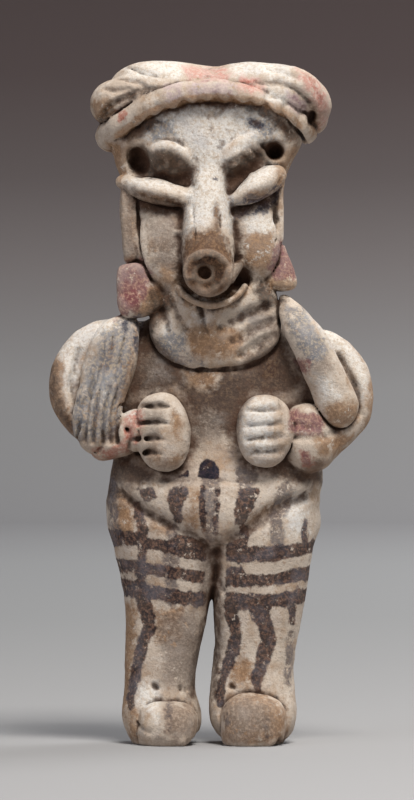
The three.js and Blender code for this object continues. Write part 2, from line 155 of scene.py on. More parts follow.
def coil(path, flat=1.0, steps=6, square=2.0):
    """A roll of clay laid along a path of x, y, z and radius. flat is its depth over its width, and square is
    the exponent of its section: under 2 it has a ridge in front, over 2 it is squarer."""
    line = smooth_line(path, steps)
    centres, radii = line[:, :3], line[:, 3:]
    swell = radii * [1, flat, 1]
    where = around((centres - swell).min(0), (centres + swell).max(0))
    x, y, z = X[where], Y[where], Z[where]
    nearest = np.full(x.shape, 1e6, np.float32)
    stretch = np.ones(x.shape, np.float32)
    for (ax, ay, az, ar), (bx, by, bz, br) in zip(line, line[1:]):
        vx, vy, vz = bx - ax, (by - ay) / flat, bz - az
        length = vx * vx + vy * vy + vz * vz
        px, py, pz = x - np.float32(ax), (y - np.float32(ay)) / np.float32(flat), z - np.float32(az)
        t = np.clip((px * vx + py * vy + pz * vz) / length, 0, 1)
        px, py, pz = px - t * vx, py - t * vy, pz - t * vz
        away = ((px * px + pz * pz) ** (square / 2) + np.abs(py) ** square) ** (1 / square) + 1e-4
        distance = away - (ar + (br - ar) * t)
        closer = distance < nearest
        nearest = np.where(closer, distance, nearest)
        if flat != 1:
            gradient = np.sqrt(px * px + (py / flat) ** 2 + pz * pz) / away
            stretch = np.where(closer, gradient, stretch)
    return where, (nearest / stretch).astype(np.float32)


def press(shape, blend=0.6, seam=0.0):
    """Presses a form onto the clay. blend is how far its edge is smeared out, and seam the radius of the
    groove that stays along that edge, both in millimetres."""
    where, form = shape
    before = clay[where]
    share = np.clip(0.5 + 0.5 * (before - form) / blend, 0, 1)
    after = before + (form - before) * share - blend * share * (1 - share)
    if seam:
        after = np.maximum(after, seam - np.hypot(before, form))
    clay[where] = after


def carve(shape, blend=0.3):
    """Takes a form out of the clay."""
    where, form = shape
    before = clay[where]
    share = np.clip(0.5 - 0.5 * (before + form) / blend, 0, 1)
    clay[where] = before - (form + before) * share + blend * share * (1 - share)


def front_of(x, z):
    """How far forward the clay reaches at one place, as built so far."""
    i = int(round((x - BLOCK_LOW[0]) / POINT_SPACING))
    k = int(round((z - BLOCK_LOW[2]) / POINT_SPACING))
    column = clay[i, :, k]
    inside = np.nonzero(column < 0)[0]
    if not len(inside) or inside[0] == 0:
        return 0.0
    j = inside[0]
    a, b = column[j - 1], column[j]
    return float(axes[1][j - 1] + POINT_SPACING * a / (a - b))


def draw(path, sink=0.0, blend=0.3):
    """Draws a line into the front of the clay with a stick. The path's rows give x, z and the stick's radius,
    and sink is how far behind the surface the stick's middle runs."""
    carve(coil([(x, front_of(x, z) + sink, z, radius) for x, z, radius in path], steps=5), blend)


TRUNK = [
    (31.5, -13.6, 14.4, -3.4, 6.6),
    (35, -16, 16.7, -6, 7.8),
    (39, -16.6, 17.4, -7.2, 8.2),
    (42, -16.5, 17.9, -7, 7.6),
    (46, -16.2, 17.5, -6.4, 6.6),
    (53, -15.6, 16.4, -6.4, 6.3),
    (60, -15, 15.5, -6.4, 6.2),
    (66, -12.4, 12.4, -5.6, 5.6),
    (70.5, -7.6, 7.6, -4.2, 4.4),
]
LEFT_LEG = [
    (-1, -12.6, -2.9, -7.4, 5.5),
    (0, -12.7, -2.8, -7.6, 5.6),
    (1.5, -13.5, -2.3, -8.2, 6.3),
    (3.5, -14.2, -2, -8.2, 6.7),
    (5.5, -14.4, -2.1, -7.4, 6.8),
    (8, -14.2, -2.6, -6.4, 6.5),
    (11.5, -14, -2.7, -5.8, 6.1),
    (15.5, -14, -2, -5.8, 6.1),
    (19.5, -14, -1.1, -6, 6.4),
    (23.4, -14.2, -0.2, -6.3, 6.8),
    (27, -14.8, 0.9, -6.6, 7.2),
    (31, -15.6, 1.2, -7.3, 7.7),
    (34.5, -16.1, 1.1, -7.5, 7.9),
    (38, -15.5, 0.4, -6.6, 6.5),
]
RIGHT_LEG = [
    (-1, 2.4, 11.4, -7.6, 5.3),
    (0, 2.3, 11.5, -7.8, 5.4),
    (1.5, 0.8, 12.8, -8.4, 6.3),
    (3.5, -0.4, 13.4, -8.4, 6.7),
    (5.5, -0.6, 13.6, -7.6, 6.8),
    (8, -0.5, 13.5, -6.6, 6.6),
    (11.5, -0.1, 13.3, -5.9, 6.1),
    (15.5, 0.3, 13.7, -5.8, 6.1),
    (19.5, 0.4, 14.4, -6, 6.4),
    (23.4, 0.3, 15, -6.3, 6.8),
    (27, -0.3, 15.6, -6.6, 7.2),
    (31, -0.5, 16.3, -7.3, 7.7),
    (34.5, -0.4, 16.9, -7.5, 7.9),
    (38, 0.5, 16.4, -6.6, 6.5),
]
press(upright(LEFT_LEG, 2.5), 0.5)
press(upright(RIGHT_LEG, 2.5), 0.7)
press(upright(TRUNK, 2.8), 3.0)
carve(coil([(0.9, 8.6, 35, 0.6), (0.6, 8.6, 30, 1.1), (0.3, 7.8, 26, 1.1), (0.1, 7, 22, 0.9)]), 0.8)

# The belly: a thin apron of clay smeared over the tops of the thighs, which two pressed folds in a V part
# from them. A shallow crease runs along its top.
BELLY = [
    (32, -0.4, 1.6, -6.4, 0),
    (33.4, -3.2, 4, -7.7, 0),
    (36, -8, 8.6, -8.5, 0),
    (38.5, -12, 12.6, -8.8, 0),
    (41, -14.6, 15.6, -8.4, 0),
    (43, -15.2, 16.2, -7.5, 0),
    (46, -14.6, 15.6, -6, 0),
]
press(upright(BELLY, 2.6), 1.1)
draw([(-14.6, 40.6, 0.5), (-12, 38.4, 0.8), (-8.8, 36.2, 0.85), (-5.4, 34.3, 0.8), (-1.6, 32.8, 0.5)], -0.4, 1.0)
draw([(15.4, 40, 0.6), (12.4, 38.4, 0.85), (9.2, 36.9, 0.9), (6.2, 34.9, 0.85), (2.8, 33, 0.6)], -0.4, 1.0)
carve(coil([(1.1, -8.4, 33.4, 0.4), (1, -8.2, 31, 0.9), (0.7, -7.8, 27.4, 1), (0.4, -7, 23.6, 0.9), (0.2, -6.6, 21.6, 0.7)]), 0.5)
draw([(-8, 42.6, 0.5), (-3, 42.5, 0.4), (2, 42.3, 0.5), (8, 42.4, 0.4)], -0.25, 0.6)

# The feet: a pad of clay pressed on the front of each leg, with an open crack along its upper edge, and cut
# flat below. The left sole slants and both have small chips.
press(pellet((-7.1, -5.9, 2.8), (4.9, 5.5, 4.5), square=2.5), 0.3, 0.2)
press(pellet((6.6, -5.9, 3.4), (5.5, 5.9, 5.1), square=2.5), 0.3, 0.2)
draw([(-12, 3.6, 0.2), (-11.2, 2.8, 0.3), (-10, 2.1, 0.2)], 0.0)
for x, z, radius in ((-9.4, 9.3, 0.5), (-8.9, 9, 0.3), (-4.9, 8.9, 0.5), (-4.1, 8.6, 0.3), (2.9, 9.2, 0.5), (3.5, 9, 0.3)):
    carve(pellet((x, front_of(x, z), z), (radius, 0.5, radius)), 0.4)
carve(pellet((11.6, -8.4, 0.2), (1.6, 3, 0.9)), 0.5)
carve(pellet((-2.4, -3, -1.6), (3.2, 9, 3.2), turn=24), 0.8)

# Painted bands and stripes: three bands round both thighs and wavy stripes down them and down the calves,
# brushed in a brownish black slip paint that has worn thin. Each paint is listed with its shades, how soft
# its edge is, how far the edge wanders, how much has flaked off and how well it covers.
paints = {}
# The layer of the soil and painted shade in the hollows and on whatever faces down.
SOIL_AND_SHADE = 20


def mix_paint(name, layer, shades, soft, wander, flaked, cover):
    """A paint, a stain, or painted shade or highlight, with nothing painted yet. Its shades are its own, that of its
    flecks and that of the film on it. Higher layers lie on lower ones, and those over the soil layer lie on the
    soil and its painted shade too."""
    paints[name] = {
        "layer": layer,
        "shades": shades,
        "soft": soft,
        "wander": wander,
        "flaked": flaked,
        "cover": cover,
        "marks": [],
    }


# A mark seen from the front is kept to the part of the clay that lies in front of this.
FACE = 0.5
SIDES = 3.0
DEEP = 4.0


def brush(paint, *path, back=FACE):
    """A brush stroke, as rows of x, z and half width."""
    paints[paint]["marks"].append((path, False, back))


def patch(paint, *outline, back=FACE):
    """A painted or stained area, inside an outline of x and z."""
    paints[paint]["marks"].append((outline, True, back))


mix_paint("dark_slip", 8, ("#2a1f22", "#75584a", "#73717a"), 0.4, 0.7, 0.37, 0.95)
mix_paint("grey_wash", 7, ("#51484a", "#8d7a6b", "#85868c"), 0.8, 1.0, 0.43, 0.8)
mix_paint("ink", 9, ("#14131e", "#2f2630", "#2b2b3a"), 0.3, 0.4, 0.35, 1.0)
# The grey film, brown film and tan clay are also painted shade on sides turned from the light and in creases,
# the white slip is also a painted highlight on rims and tops, and the dark earth is soil and painted shade.
mix_paint("grey_film_and_painted_shade", 4.5, ("#7b6e64", "#a2958a", "#9a9490"), 2.4, 1.8, 0.38, 0.75)
mix_paint("dark_earth_and_painted_shade", 10, ("#26170f", "#553a29", "#48331f"), 1.6, 1.4, 0.34, 0.9)
mix_paint("brown_film_and_painted_shade", 4, ("#3f2d26", "#65503f", "#594a42"), 1.8, 1.4, 0.28, 0.93)
mix_paint("tan_clay_and_painted_shade", 3, ("#84603f", "#ac8662", "#a48b74"), 1.6, 1.8, 0.40, 0.85)
mix_paint("white_slip_and_painted_highlight", 2, ("#e3dfd9", "#c8b9a8", "#ccccce"), 1.8, 2.2, 0.38, 0.9)

# upper band
patch("dark_slip", (-17, 34.6), (-12, 34.2), (-10, 33.1), (-6.8, 32.9), (-5.6, 33.8), (-2.6, 33.2), (-1, 32),
      (-1, 29.4), (-4.5, 29.9), (-6.8, 30.4), (-8.3, 31), (-12, 31.7), (-14.5, 31.9), (-17, 31.3), back=SIDES)
patch("dark_slip", (2.2, 32.2), (4.2, 33.3), (5.6, 33.2), (5.9, 31.7), (8, 31.8), (11, 32.2), (12, 31.9),
      (14.3, 32.4), (17.5, 33), (17.5, 30.8), (15, 30.4), (11.6, 29.6), (10, 29.3), (6, 29.3), (2.2, 29.2),
      back=SIDES)
# middle band
patch("dark_slip", (-17, 29.9), (-12.6, 29.6), (-9.6, 29.1), (-5.2, 28.4), (-1.2, 27.8), (-1.2, 25.7),
      (-5.2, 26.4), (-9.8, 27.2), (-13, 27.6), (-17, 27.2), back=SIDES)
patch("dark_slip", (2.2, 28.6), (4.8, 28.4), (5.4, 27.4), (10, 27.4), (12.5, 28), (17, 28.9), (17, 26.6),
      (13, 25.9), (8, 25.4), (2.2, 25.2), back=SIDES)
# lower band
patch("dark_slip", (-17, 26.7), (-12.6, 26.3), (-8, 25.3), (-4, 24.7), (-0.8, 24.3), (-1.2, 22), (-4.6, 22.3),
      (-7, 23), (-9.6, 23.1), (-12.8, 23.6), (-15, 23.5), (-17, 24), back=SIDES)
patch("dark_slip", (2, 24.6), (5, 24.3), (9, 24.2), (13, 24.7), (16, 25.2), (16, 23), (13, 22.2), (9, 21.8),
      (6, 21.6), (2, 21.6), back=SIDES)
# stripes
brush("dark_slip", (-12.1, 38.6, 0.5), (-11.6, 36.6, 0.85), (-11.1, 34.4, 0.85), (-11, 32, 0.75),
      (-11.2, 29, 0.7), (-11.4, 26, 0.75), (-11.4, 23.8, 0.95), (-10.7, 22, 1.2), (-10.05, 20, 1.15),
      (-10.1, 18.3, 1.05), (-10.95, 17, 0.95), (-11.5, 14.5, 1.0), (-12.05, 12.4, 0.85), (-12.4, 10.4, 0.9),
      (-12.95, 8.4, 0.7), (-13.1, 6, 0.5))
brush("dark_slip", (3.0, 22, 1.0), (3.2, 20.5, 1.1), (3.8, 18.5, 1.0), (3.8, 17, 0.95), (3.2, 15, 1.1),
      (2.7, 13.5, 0.95), (2.0, 11.4, 0.75), (1.5, 9.4, 0.7), (1.4, 6.5, 0.6))
brush("dark_slip", (7.5, 21.6, 1.6), (8.6, 18.8, 1.25), (9.1, 16.5, 1.25), (8.3, 14.5, 1.2), (7.9, 12.7, 1.05),
      (7.3, 10.7, 1.1), (7.3, 8.9, 0.6))
brush("dark_slip", (12.9, 22.3, 0.6), (12.9, 19.6, 0.5))
brush("dark_slip", (5.0, 34.6, 0.7), (5.2, 33, 0.8))
brush("dark_slip", (14.9, 36, 0.45), (14.9, 33.5, 0.55), (15.1, 31, 0.5))
brush("grey_wash", (12.6, 18, 0.5), (12.4, 14, 0.7), (12.1, 10, 0.6))
brush("grey_wash", (-15.9, 42, 0.7), (-15.9, 38, 0.7), (-15.7, 35, 0.8))
brush("grey_wash", (11.7, 40.6, 1.5), (11.2, 38.6, 1.4), (10.3, 36.2, 1.15), (10.3, 33, 1.1), (10.7, 31, 1.1))
brush("grey_wash", (-6.2, 34.6, 1.0), (-6.4, 31, 1.2), (-6.6, 27, 1.1), (-6.4, 23, 1.0))
# marks on the belly
brush("grey_wash", (-0.3, 42.2, 1.5), (-0.4, 39, 1.3), (-0.6, 36, 1.1), (-0.4, 33.4, 1.1))
patch("grey_wash", (3.8, 42.2), (3.7, 44.4), (4.6, 45.4), (6, 45.3), (7, 44.4), (7.4, 42.6), (6.3, 41.2), (4.6, 41))
patch("dark_slip", (-12, 41.1), (-9, 41.2), (-8.9, 39.8), (-10, 38.8), (-11, 38.9))
patch("dark_slip", (-6.9, 41.2), (-3.5, 41.3), (-4.1, 39.4), (-4.8, 38), (-4.8, 35.6), (-5.6, 35.5), (-6.9, 37.6),
      (-7.1, 39.2))
patch("dark_slip", (4.3, 41.2), (7.7, 41.2), (7, 39), (5.8, 36.6), (5.5, 35.4), (3.6, 35.2), (3.5, 37.5),
      (3.8, 38.7))
brush("dark_slip", (-1.5, 41.4, 0.4), (-1.6, 37.6, 0.5), (-1.3, 34.6, 0.5))
brush("dark_slip", (0.9, 41, 0.35), (0.7, 37, 0.45), (0.6, 34.2, 0.5))
patch("ink", (-2.3, 42.7), (-2.3, 44.2), (-1.6, 45.4), (-0.6, 45.9), (0.4, 45.5), (1, 44.4), (1.1, 42.5))
patch("ink", (-5.7, 42.9), (-3.8, 44.1), (-3.7, 42.9))
# worn places and clean white ones; the films, the tan and the dark earth between the legs, along the V folds,
# # at the left hip, down the left leg's outer side and in the chip at the right foot's base are painted shade
patch("grey_film_and_painted_shade", (-2.2, 33.4), (0.6, 33.4), (0.2, 28), (-0.4, 22), (-2.2, 22.4), (-2.2, 27))
patch("grey_film_and_painted_shade", (-8.6, 21), (-3, 21.6), (-1.6, 19), (-2.6, 9), (-5.6, 8.6), (-8.4, 10), (-7.4, 14.6), (-8.8, 17))
patch("grey_film_and_painted_shade", (-7.6, 16), (-4, 16), (-2.8, 10), (-7.8, 10.6))
brush("brown_film_and_painted_shade", (0.8, 22.6, 0.6), (1, 18, 0.6), (0.7, 12, 0.5), (0.4, 7.6, 0.4))
brush("brown_film_and_painted_shade", (-1.2, 20, 0.4), (-2.4, 14, 0.5), (-3, 9.6, 0.8), (-3.2, 7.6, 0.5))
brush("dark_earth_and_painted_shade", (1.1, 33.6, 0.2), (1, 31, 0.6), (0.7, 27.4, 0.7), (0.4, 23.4, 0.6))
brush("grey_film_and_painted_shade", (-14, 40.2, 0.4), (-9, 36.3, 0.6), (-3, 33.3, 0.6))
brush("grey_film_and_painted_shade", (14.4, 39.6, 0.4), (9.4, 36.9, 0.6), (3.4, 33.4, 0.6))
brush("brown_film_and_painted_shade", (9, 36.2, 0.3), (6.4, 34.6, 0.3), (3.4, 32.9, 0.4))
patch("brown_film_and_painted_shade", (-17.4, 45), (-15.4, 44.6), (-14.6, 41.4), (-15.6, 38), (-17.4, 38), back=DEEP)
patch("tan_clay_and_painted_shade", (-16, 24), (-12, 22), (-12.6, 12), (-13.6, 4), (-15, 4), (-15, 18))
patch("tan_clay_and_painted_shade", (-9.6, 22), (-4.5, 22), (-3.6, 16), (-9, 16.4))
patch("tan_clay_and_painted_shade", (4.5, 14), (6.4, 13), (6, 9), (2.6, 9.4), (3.4, 12.5))
patch("tan_clay_and_painted_shade", (10.2, 6), (12, 5.6), (12, 2.5), (10.4, 2.4))
patch("tan_clay_and_painted_shade", (-15.6, 41.4), (-13.2, 40.4), (-12.4, 36), (-12.6, 32.6), (-15.8, 32.6))
patch("tan_clay_and_painted_shade", (-9.6, 36.4), (-6.8, 34.6), (-7.4, 33.6), (-9.8, 34.4))
patch("tan_clay_and_painted_shade", (5.4, 36), (9.6, 39), (10.6, 38.4), (6, 34.4))
patch("tan_clay_and_painted_shade", (-2, 37), (-2, 41), (-3.2, 41), (-3.6, 36.6), (-4.6, 35.4), (-2, 34.2))
patch("white_slip_and_painted_highlight", (-12.2, 9.7), (-8.3, 9.7), (-8.2, 6.6), (-10, 5.6), (-12.2, 6.6))
patch("white_slip_and_painted_highlight", (12, 41), (15, 40), (15.6, 34), (12.4, 33.4), (11.6, 37))
patch("tan_clay_and_painted_shade", (-7.8, 6), (-3, 6.4), (-2.4, 2), (-7, 1.6))
patch("grey_film_and_painted_shade", (-8, 6.8), (-2.6, 6.2), (-2.4, 0.8), (-7.6, 0.8))
patch("tan_clay_and_painted_shade", (2, 8), (8, 8.4), (11.6, 6), (11.6, 0.8), (2, 0.8))
patch("grey_film_and_painted_shade", (2, 7), (5.6, 8), (9.4, 6.6), (10, 2), (3, 1))
patch("tan_clay_and_painted_shade", (-13.6, 6), (-12.4, 6), (-11.6, 1), (-13.6, 0.6))
# worn stripes on the toes
brush("grey_wash", (-6.8, 6.6, 0.4), (-6.9, 4.6, 0.6), (-7, 2.8, 0.4))
brush("grey_film_and_painted_shade", (-4, 5, 0.6), (-4, 3.4, 0.5))
brush("white_slip_and_painted_highlight", (-9, 6, 0.5), (-9, 4.4, 0.4))
brush("grey_wash", (2.4, 5, 0.35), (2.5, 3.6, 0.4))
brush("tan_clay_and_painted_shade", (7.4, 7.4, 0.5), (7.4, 6, 0.5))
brush("grey_wash", (8.6, 5, 0.3), (8.7, 1.4, 0.3))
patch("tan_clay_and_painted_shade", (10.2, 5), (11.6, 4.8), (11.4, 2.4), (10.2, 2.8))
patch("dark_earth_and_painted_shade", (10, 1.4), (11.8, 1.6), (11.8, 0.3), (10.2, 0.3))

# The chest: bare but for a thin brown-grey film that is darker towards the throat and ends in a ragged line
# above the belly. At the hips, under the forearms, the brown is painted shade as well as film.
patch("brown_film_and_painted_shade", (-10.5, 67), (-12.4, 61), (-13.5, 56), (-10, 56.8), (-5.5, 57.5), (-3.2, 53), (-3.2, 49.4),
      (-1, 51), (1.6, 50), (3.9, 48.8), (4.6, 52), (6.5, 56.5), (12, 56), (14.5, 58), (12, 63), (10.5, 66),
      (6, 62.5), (4.4, 60.4), (2, 60), (0.6, 57.4), (-1, 56.8), (-3.6, 57.4), (-5, 60.6), (-6, 63), (-9.5, 66), back=DEEP)
patch("brown_film_and_painted_shade", (-17, 46.6), (-11, 45), (-9, 43.4), (-10, 41.8), (-13, 41.4), (-17, 41.8), back=DEEP)
patch("brown_film_and_painted_shade", (10, 44.6), (13, 44), (18, 46), (18, 41.6), (13, 41.8), (9.6, 43), back=DEEP)
patch("grey_film_and_painted_shade", (-4, 52), (-3.4, 46.4), (-2, 48.6), (0.6, 49.4), (3, 51.5), (0, 54))
patch("grey_film_and_painted_shade", (-9, 44.6), (-4, 44.6), (-2.6, 42), (-8, 41.6))
patch("tan_clay_and_painted_shade", (-4.6, 60), (1.6, 60), (0.6, 57.6), (-1, 57), (-3.4, 57.6))
patch("tan_clay_and_painted_shade", (6, 63), (11, 61), (13.5, 58.4), (8, 58.6))
patch("grey_film_and_painted_shade", (-12, 62), (-8, 62.6), (-6.6, 59), (-11, 57))

# The arms: each a thick roll of clay bent in a ring from the shoulder round to the forearm, over a thin web
# of clay. The right ring is a little lower and shorter.
mix_paint("red_slip", 6, ("#a4503c", "#c2988a", "#b58d86"), 0.8, 1.2, 0.42, 0.8)
mix_paint("mauve_slip", 6.2, ("#74464a", "#a88272", "#958688"), 0.8, 1.1, 0.38, 0.9)


def arc(at, across, up, down, start, end, depth, radii):
    """The path of a roll bent round a centre, in degrees from the right."""
    path = []
    for t in np.linspace(0, 1, 9):
        angle = math.radians(start + (end - start) * t)
        height = (up if angle > 0 else down) * math.sin(angle)
        radius = float(np.interp(t, np.linspace(0, 1, len(radii)), radii))
        path.append((at[0] + across * math.cos(angle), depth[0] + (depth[1] - depth[0]) * t, at[1] + height, radius))
    return path


ARM_RADII = (2.8, 2.8, 2.8, 2.6, 2.3)
press(pellet((-15.2, -0.9, 57.4), (8.9, 3.4, 9.2)), 2.4)
press(coil(arc((-15.8, 57.4), -7.5, 8.2, 8.2, 112, -72, (-0.6, -4.6), ARM_RADII)), 2.0)
press(pellet((15.2, -0.9, 55.8), (8.9, 3.4, 8)), 2.4)
press(coil(arc((15.8, 55.8), 7.5, 8.2, 7, 112, -72, (-0.6, -4.6), ARM_RADII)), 2.0)
draw([(-21.4, 63, 0.3), (-22, 60, 0.6), (-22.4, 57.4, 0.7), (-22, 55, 0.4)], 0.1, 0.8)
draw([(20.2, 62.4, 0.4), (22, 58.8, 0.6), (23.6, 55.8, 0.6), (23.8, 53, 0.4)], 0.1, 0.8)
# forearms
press(coil([(-17.6, -5.8, 47.4, 1.9), (-14.8, -6.2, 49.2, 3), (-12, -6.6, 50.6, 3.2)], square=2.3), 1.0)
draw([(-14.6, 53, 0.2), (-13.6, 50, 0.4), (-13.4, 47, 0.3)], -0.05, 0.6)
press(pellet((15.4, -6.2, 49.2), (4.1, 2.9, 5.6), turn=-13, square=2.4), 1.2)
press(coil([(15.4, -5.6, 47.6, 3.2), (18.2, -5, 48.8, 2.8), (20.8, -3.6, 51.4, 2.3)], square=2.3), 1.6)
draw([(12.2, 49.3, 0.5), (15, 49.2, 0.6), (17.6, 49.6, 0.5), (19.8, 50.4, 0.3)], -0.1, 0.6)
draw([(12.4, 51.6, 0.3), (14.4, 51.2, 0.4), (16.6, 51, 0.2)], -0.1, 0.7)
patch("red_slip", (-14.4, 52.5), (-11.2, 54), (-10.7, 51.6), (-12, 48.4), (-14.2, 48.6))
patch("red_slip", (-19.6, 47.4), (-16.6, 47.6), (-13, 48.8), (-13.4, 47.2), (-16.6, 45.6), (-18.6, 45.4))
patch("white_slip_and_painted_highlight", (-14.8, 54.8), (-12, 54.4), (-12.2, 52), (-14.6, 52.6))
patch("mauve_slip", (12.1, 54), (17.8, 52.6), (17.8, 49.6), (13, 49.8), (12.2, 51))
patch("red_slip", (13.9, 47.6), (15, 47), (16.4, 44.8), (14.6, 44.6))
patch("mauve_slip", (14.2, 47.2), (15.2, 47.2), (15.8, 45), (14.8, 45))
patch("tan_clay_and_painted_shade", (16.6, 49.6), (22.9, 49.6), (21, 46.6), (17, 46.4))
# The white slip on the arms' tops is a painted highlight, and the tan and brown on their outer edges are
# painted shade as well as bare clay.
patch("white_slip_and_painted_highlight", (-25.2, 62), (-21.6, 67.4), (-15, 69), (-15.6, 66), (-20, 64), (-21.6, 58), (-23.6, 55))
patch("white_slip_and_painted_highlight", (15, 69), (20, 66.8), (24, 62), (25.8, 57), (24, 55), (22.4, 60), (18, 65))
patch("tan_clay_and_painted_shade", (-26.5, 63), (-24, 62), (-23.6, 55), (-20.6, 49), (-23, 47), (-26.5, 53))
brush("brown_film_and_painted_shade", (-25.6, 61, 0.3), (-25.4, 57, 0.7), (-24.2, 53.4, 0.7), (-22, 49.6, 0.5))
patch("tan_clay_and_painted_shade", (26.5, 60), (25, 58), (25, 53), (22.6, 48), (26.5, 49))

# The hands: flat pellets set on the belly. The left one's fingers are parted by short wedge-shaped stabs
# near the wrist, and the right one's by grooves pressed in from the wrist.
press(pellet((-8, -8.3, 50.3), (4.4, 2.5, 6.2), turn=-6, square=2.3), 0.4, 0.25)
press(pellet((8.4, -8.3, 50.2), (4.3, 2.5, 5.8), square=2.3), 0.4, 0.25)
for x, z in ((-8.1, 54.3), (-8.6, 51.7), (-9.2, 49.2), (-9.8, 47)):
    draw([(x - 2.2, z - 0.3, 0.25), (x - 0.6, z, 0.75), (x + 0.5, z, 0.6), (x + 1.9, z - 0.3, 0.15)], 0.0, 0.5)
    draw([(x - 3.6, z - 0.2, 0.4), (x - 1.6, z, 0.5)], -0.1, 0.6)
for z in (53.7, 51.3, 49.2, 46.9):
    draw([(11, z + 0.2, 0.5), (9.4, z, 0.5), (7.4, z - 0.1, 0.35), (5.8, z - 0.2, 0.2)], 0.1, 0.9)
draw([(10.8, 55, 0.4), (11.4, 52.6, 0.5), (11.6, 50.4, 0.4)], 0.05, 0.4)
patch("white_slip_and_painted_highlight", (4.6, 54), (7, 55.6), (9.6, 55), (9.6, 46), (7, 45), (4.8, 48))
patch("tan_clay_and_painted_shade", (-10.8, 50), (-8.6, 50), (-8, 45), (-10.4, 45))
patch("tan_clay_and_painted_shade", (-6.4, 54), (-4.6, 52), (-5, 49), (-6.6, 50))
patch("grey_film_and_painted_shade", (-10.6, 54.6), (-8, 55), (-8.6, 46), (-11, 46))
patch("tan_clay_and_painted_shade", (-6.8, 46.4), (-4.8, 46), (-5.4, 44.6), (-7.4, 44.8))

# Locks of hair: a broad flat one, combed with a stick, lies over the left arm, and a smooth round one over
# the right. Both keep much of a blue-grey paint.
mix_paint("blue_grey", 5, ("#71747c", "#b3a592", "#b4b6bb"), 1.0, 1.6, 0.42, 0.8)
mix_paint("dark_blue", 9.5, ("#1d2233", "#5f6273", "#3c4254"), 0.6, 1.0, 0.44, 0.85)
LOCK_FRONT = -7.2
press(
    coil(
        [
            (-13.6, -5.4, 67, 2.1),
            (-15.4, LOCK_FRONT, 64, 3.7),
            (-16.6, LOCK_FRONT, 60, 4.1),
            (-17.9, LOCK_FRONT, 55.6, 3.8),
            (-18.6, LOCK_FRONT + 0.2, 51.4, 3.7),
            (-18.7, LOCK_FRONT + 0.6, 49.4, 2.9),
        ],
        flat=0.62,
    ),
    0.5,
    0.25,
)
for x, top in ((-21.2, 56), (-20.2, 58), (-18.9, 58.4), (-17.4, 57.6), (-16.2, 57.6), (-15.2, 54)):
    draw([(x + 1.3, top, 0.15), (x + 0.5, 54.5, 0.4), (x, 51.5, 0.5), (x - 0.2, 48.4, 0.45)], 0.1, 0.3)
for x, top in ((-13.6, 66.5), (-15.4, 66.4), (-17, 65), (-18.6, 62)):
    draw([(x, top, 0.1), (x - 0.6, top - 3, 0.3), (x - 1.8, top - 8, 0.2)], 0.1, 0.4)
press(
    coil(
        [
            (11.6, -5.2, 70.6, 1.5),
            (13.3, -6.6, 68, 2.5),
            (15.3, LOCK_FRONT - 0.3, 64.6, 3.05),
            (17.6, LOCK_FRONT - 0.4, 60, 3.05),
            (19.9, LOCK_FRONT, 55, 3.2),
            (20.5, LOCK_FRONT + 0.2, 54, 3.1),
        ],
        flat=0.85,
    ),
    0.5,
    0.25,
)
patch("blue_grey", (-15, 68.4), (-12.4, 68.4), (-12.6, 62), (-14.4, 56), (-15, 49), (-22.4, 48.6), (-22.2, 54),
      (-20, 60), (-18, 65))
brush("tan_clay_and_painted_shade", (-12.6, 65.4, 0.7), (-13.2, 61, 0.8), (-14.4, 57, 0.9), (-14.6, 55, 0.8))
brush("tan_clay_and_painted_shade", (-16, 63.4, 0.9), (-17, 60.4, 0.7))
brush("tan_clay_and_painted_shade", (-18.1, 55.6, 0.5), (-18.4, 49, 0.6))
brush("tan_clay_and_painted_shade", (-15.4, 54.4, 0.5), (-15.8, 49, 0.6))
# Brown painted shade in the hollow between the combed lock and the arm.
brush("brown_film_and_painted_shade", (-21, 55, 0.4), (-21.5, 49, 0.4))
brush("white_slip_and_painted_highlight", (-16.6, 58.6, 0.9), (-17.2, 55.6, 0.8))
brush("dark_blue", (-11.6, 68.4, 0.7), (-11.8, 65.6, 0.6), (-12.2, 63, 0.4))
brush("dark_blue", (-13.7, 68, 0.5), (-13.9, 65.8, 0.4))
patch("blue_grey", (11, 71), (14.6, 70), (18.6, 63), (16, 60.6), (12.6, 65.6))
patch("mauve_slip", (13.4, 61.8), (15.8, 61.4), (15.4, 59.6), (14, 59.6))
patch("white_slip_and_painted_highlight", (16, 60), (19, 58.6), (20.6, 55.6), (17.6, 55))
patch("tan_clay_and_painted_shade", (18.2, 54.5), (23.4, 55), (23.4, 52), (20, 50.4), (18, 52))
patch("grey_film_and_painted_shade", (13, 66), (17, 66), (19.6, 60), (16.6, 58))

# The collar: a thick crescent of clay hung on the chest under the chin, with slanting folds pressed in it.
press(pellet((0, -0.4, 69.5), (8.6, 5.2, 8)), 1.5)
press(pellet((0.6, -5, 68), (10.5, 3.6, 8.4), square=2.6), 0.4, 0.3)
draw([(8.8, 70, 0.9), (6, 68.8, 1.1), (3.4, 67.6, 0.9), (1.4, 66.8, 0.4)], 0.25, 1.0)
draw([(9.6, 67.7, 0.8), (7.4, 66.7, 1.0), (5.4, 65.5, 0.85), (3.4, 64.5, 0.4)], 0.2, 1.0)
draw([(10.2, 65.5, 0.6), (8.4, 64.4, 0.85), (6.4, 63.1, 0.7), (4.6, 62.1, 0.3)], 0.2, 0.8)
carve(coil([(-11, -8.6, 66, 1.2), (-9, -9.4, 69, 1.7), (-6.6, -9.4, 72, 1.4)]), 0.8)
draw([(-8, 70, 0.5), (-7.5, 68.4, 0.6), (-7, 66.6, 0.3)], 0.1, 1.0)
draw([(-5.9, 69.9, 0.5), (-5.2, 68.4, 0.6), (-4.4, 66.8, 0.3)], 0.1, 1.0)
draw([(-2, 70, 0.5), (-1.4, 68, 0.4), (-0.6, 66, 0.2)], 0.1, 0.6)
patch("tan_clay_and_painted_shade", (-4.4, 67.2), (0, 67.6), (5.4, 66.2), (4.6, 62.4), (-3, 62))
patch("blue_grey", (-9, 66), (-5, 66), (-4, 63), (-1, 60.6), (-7, 62))
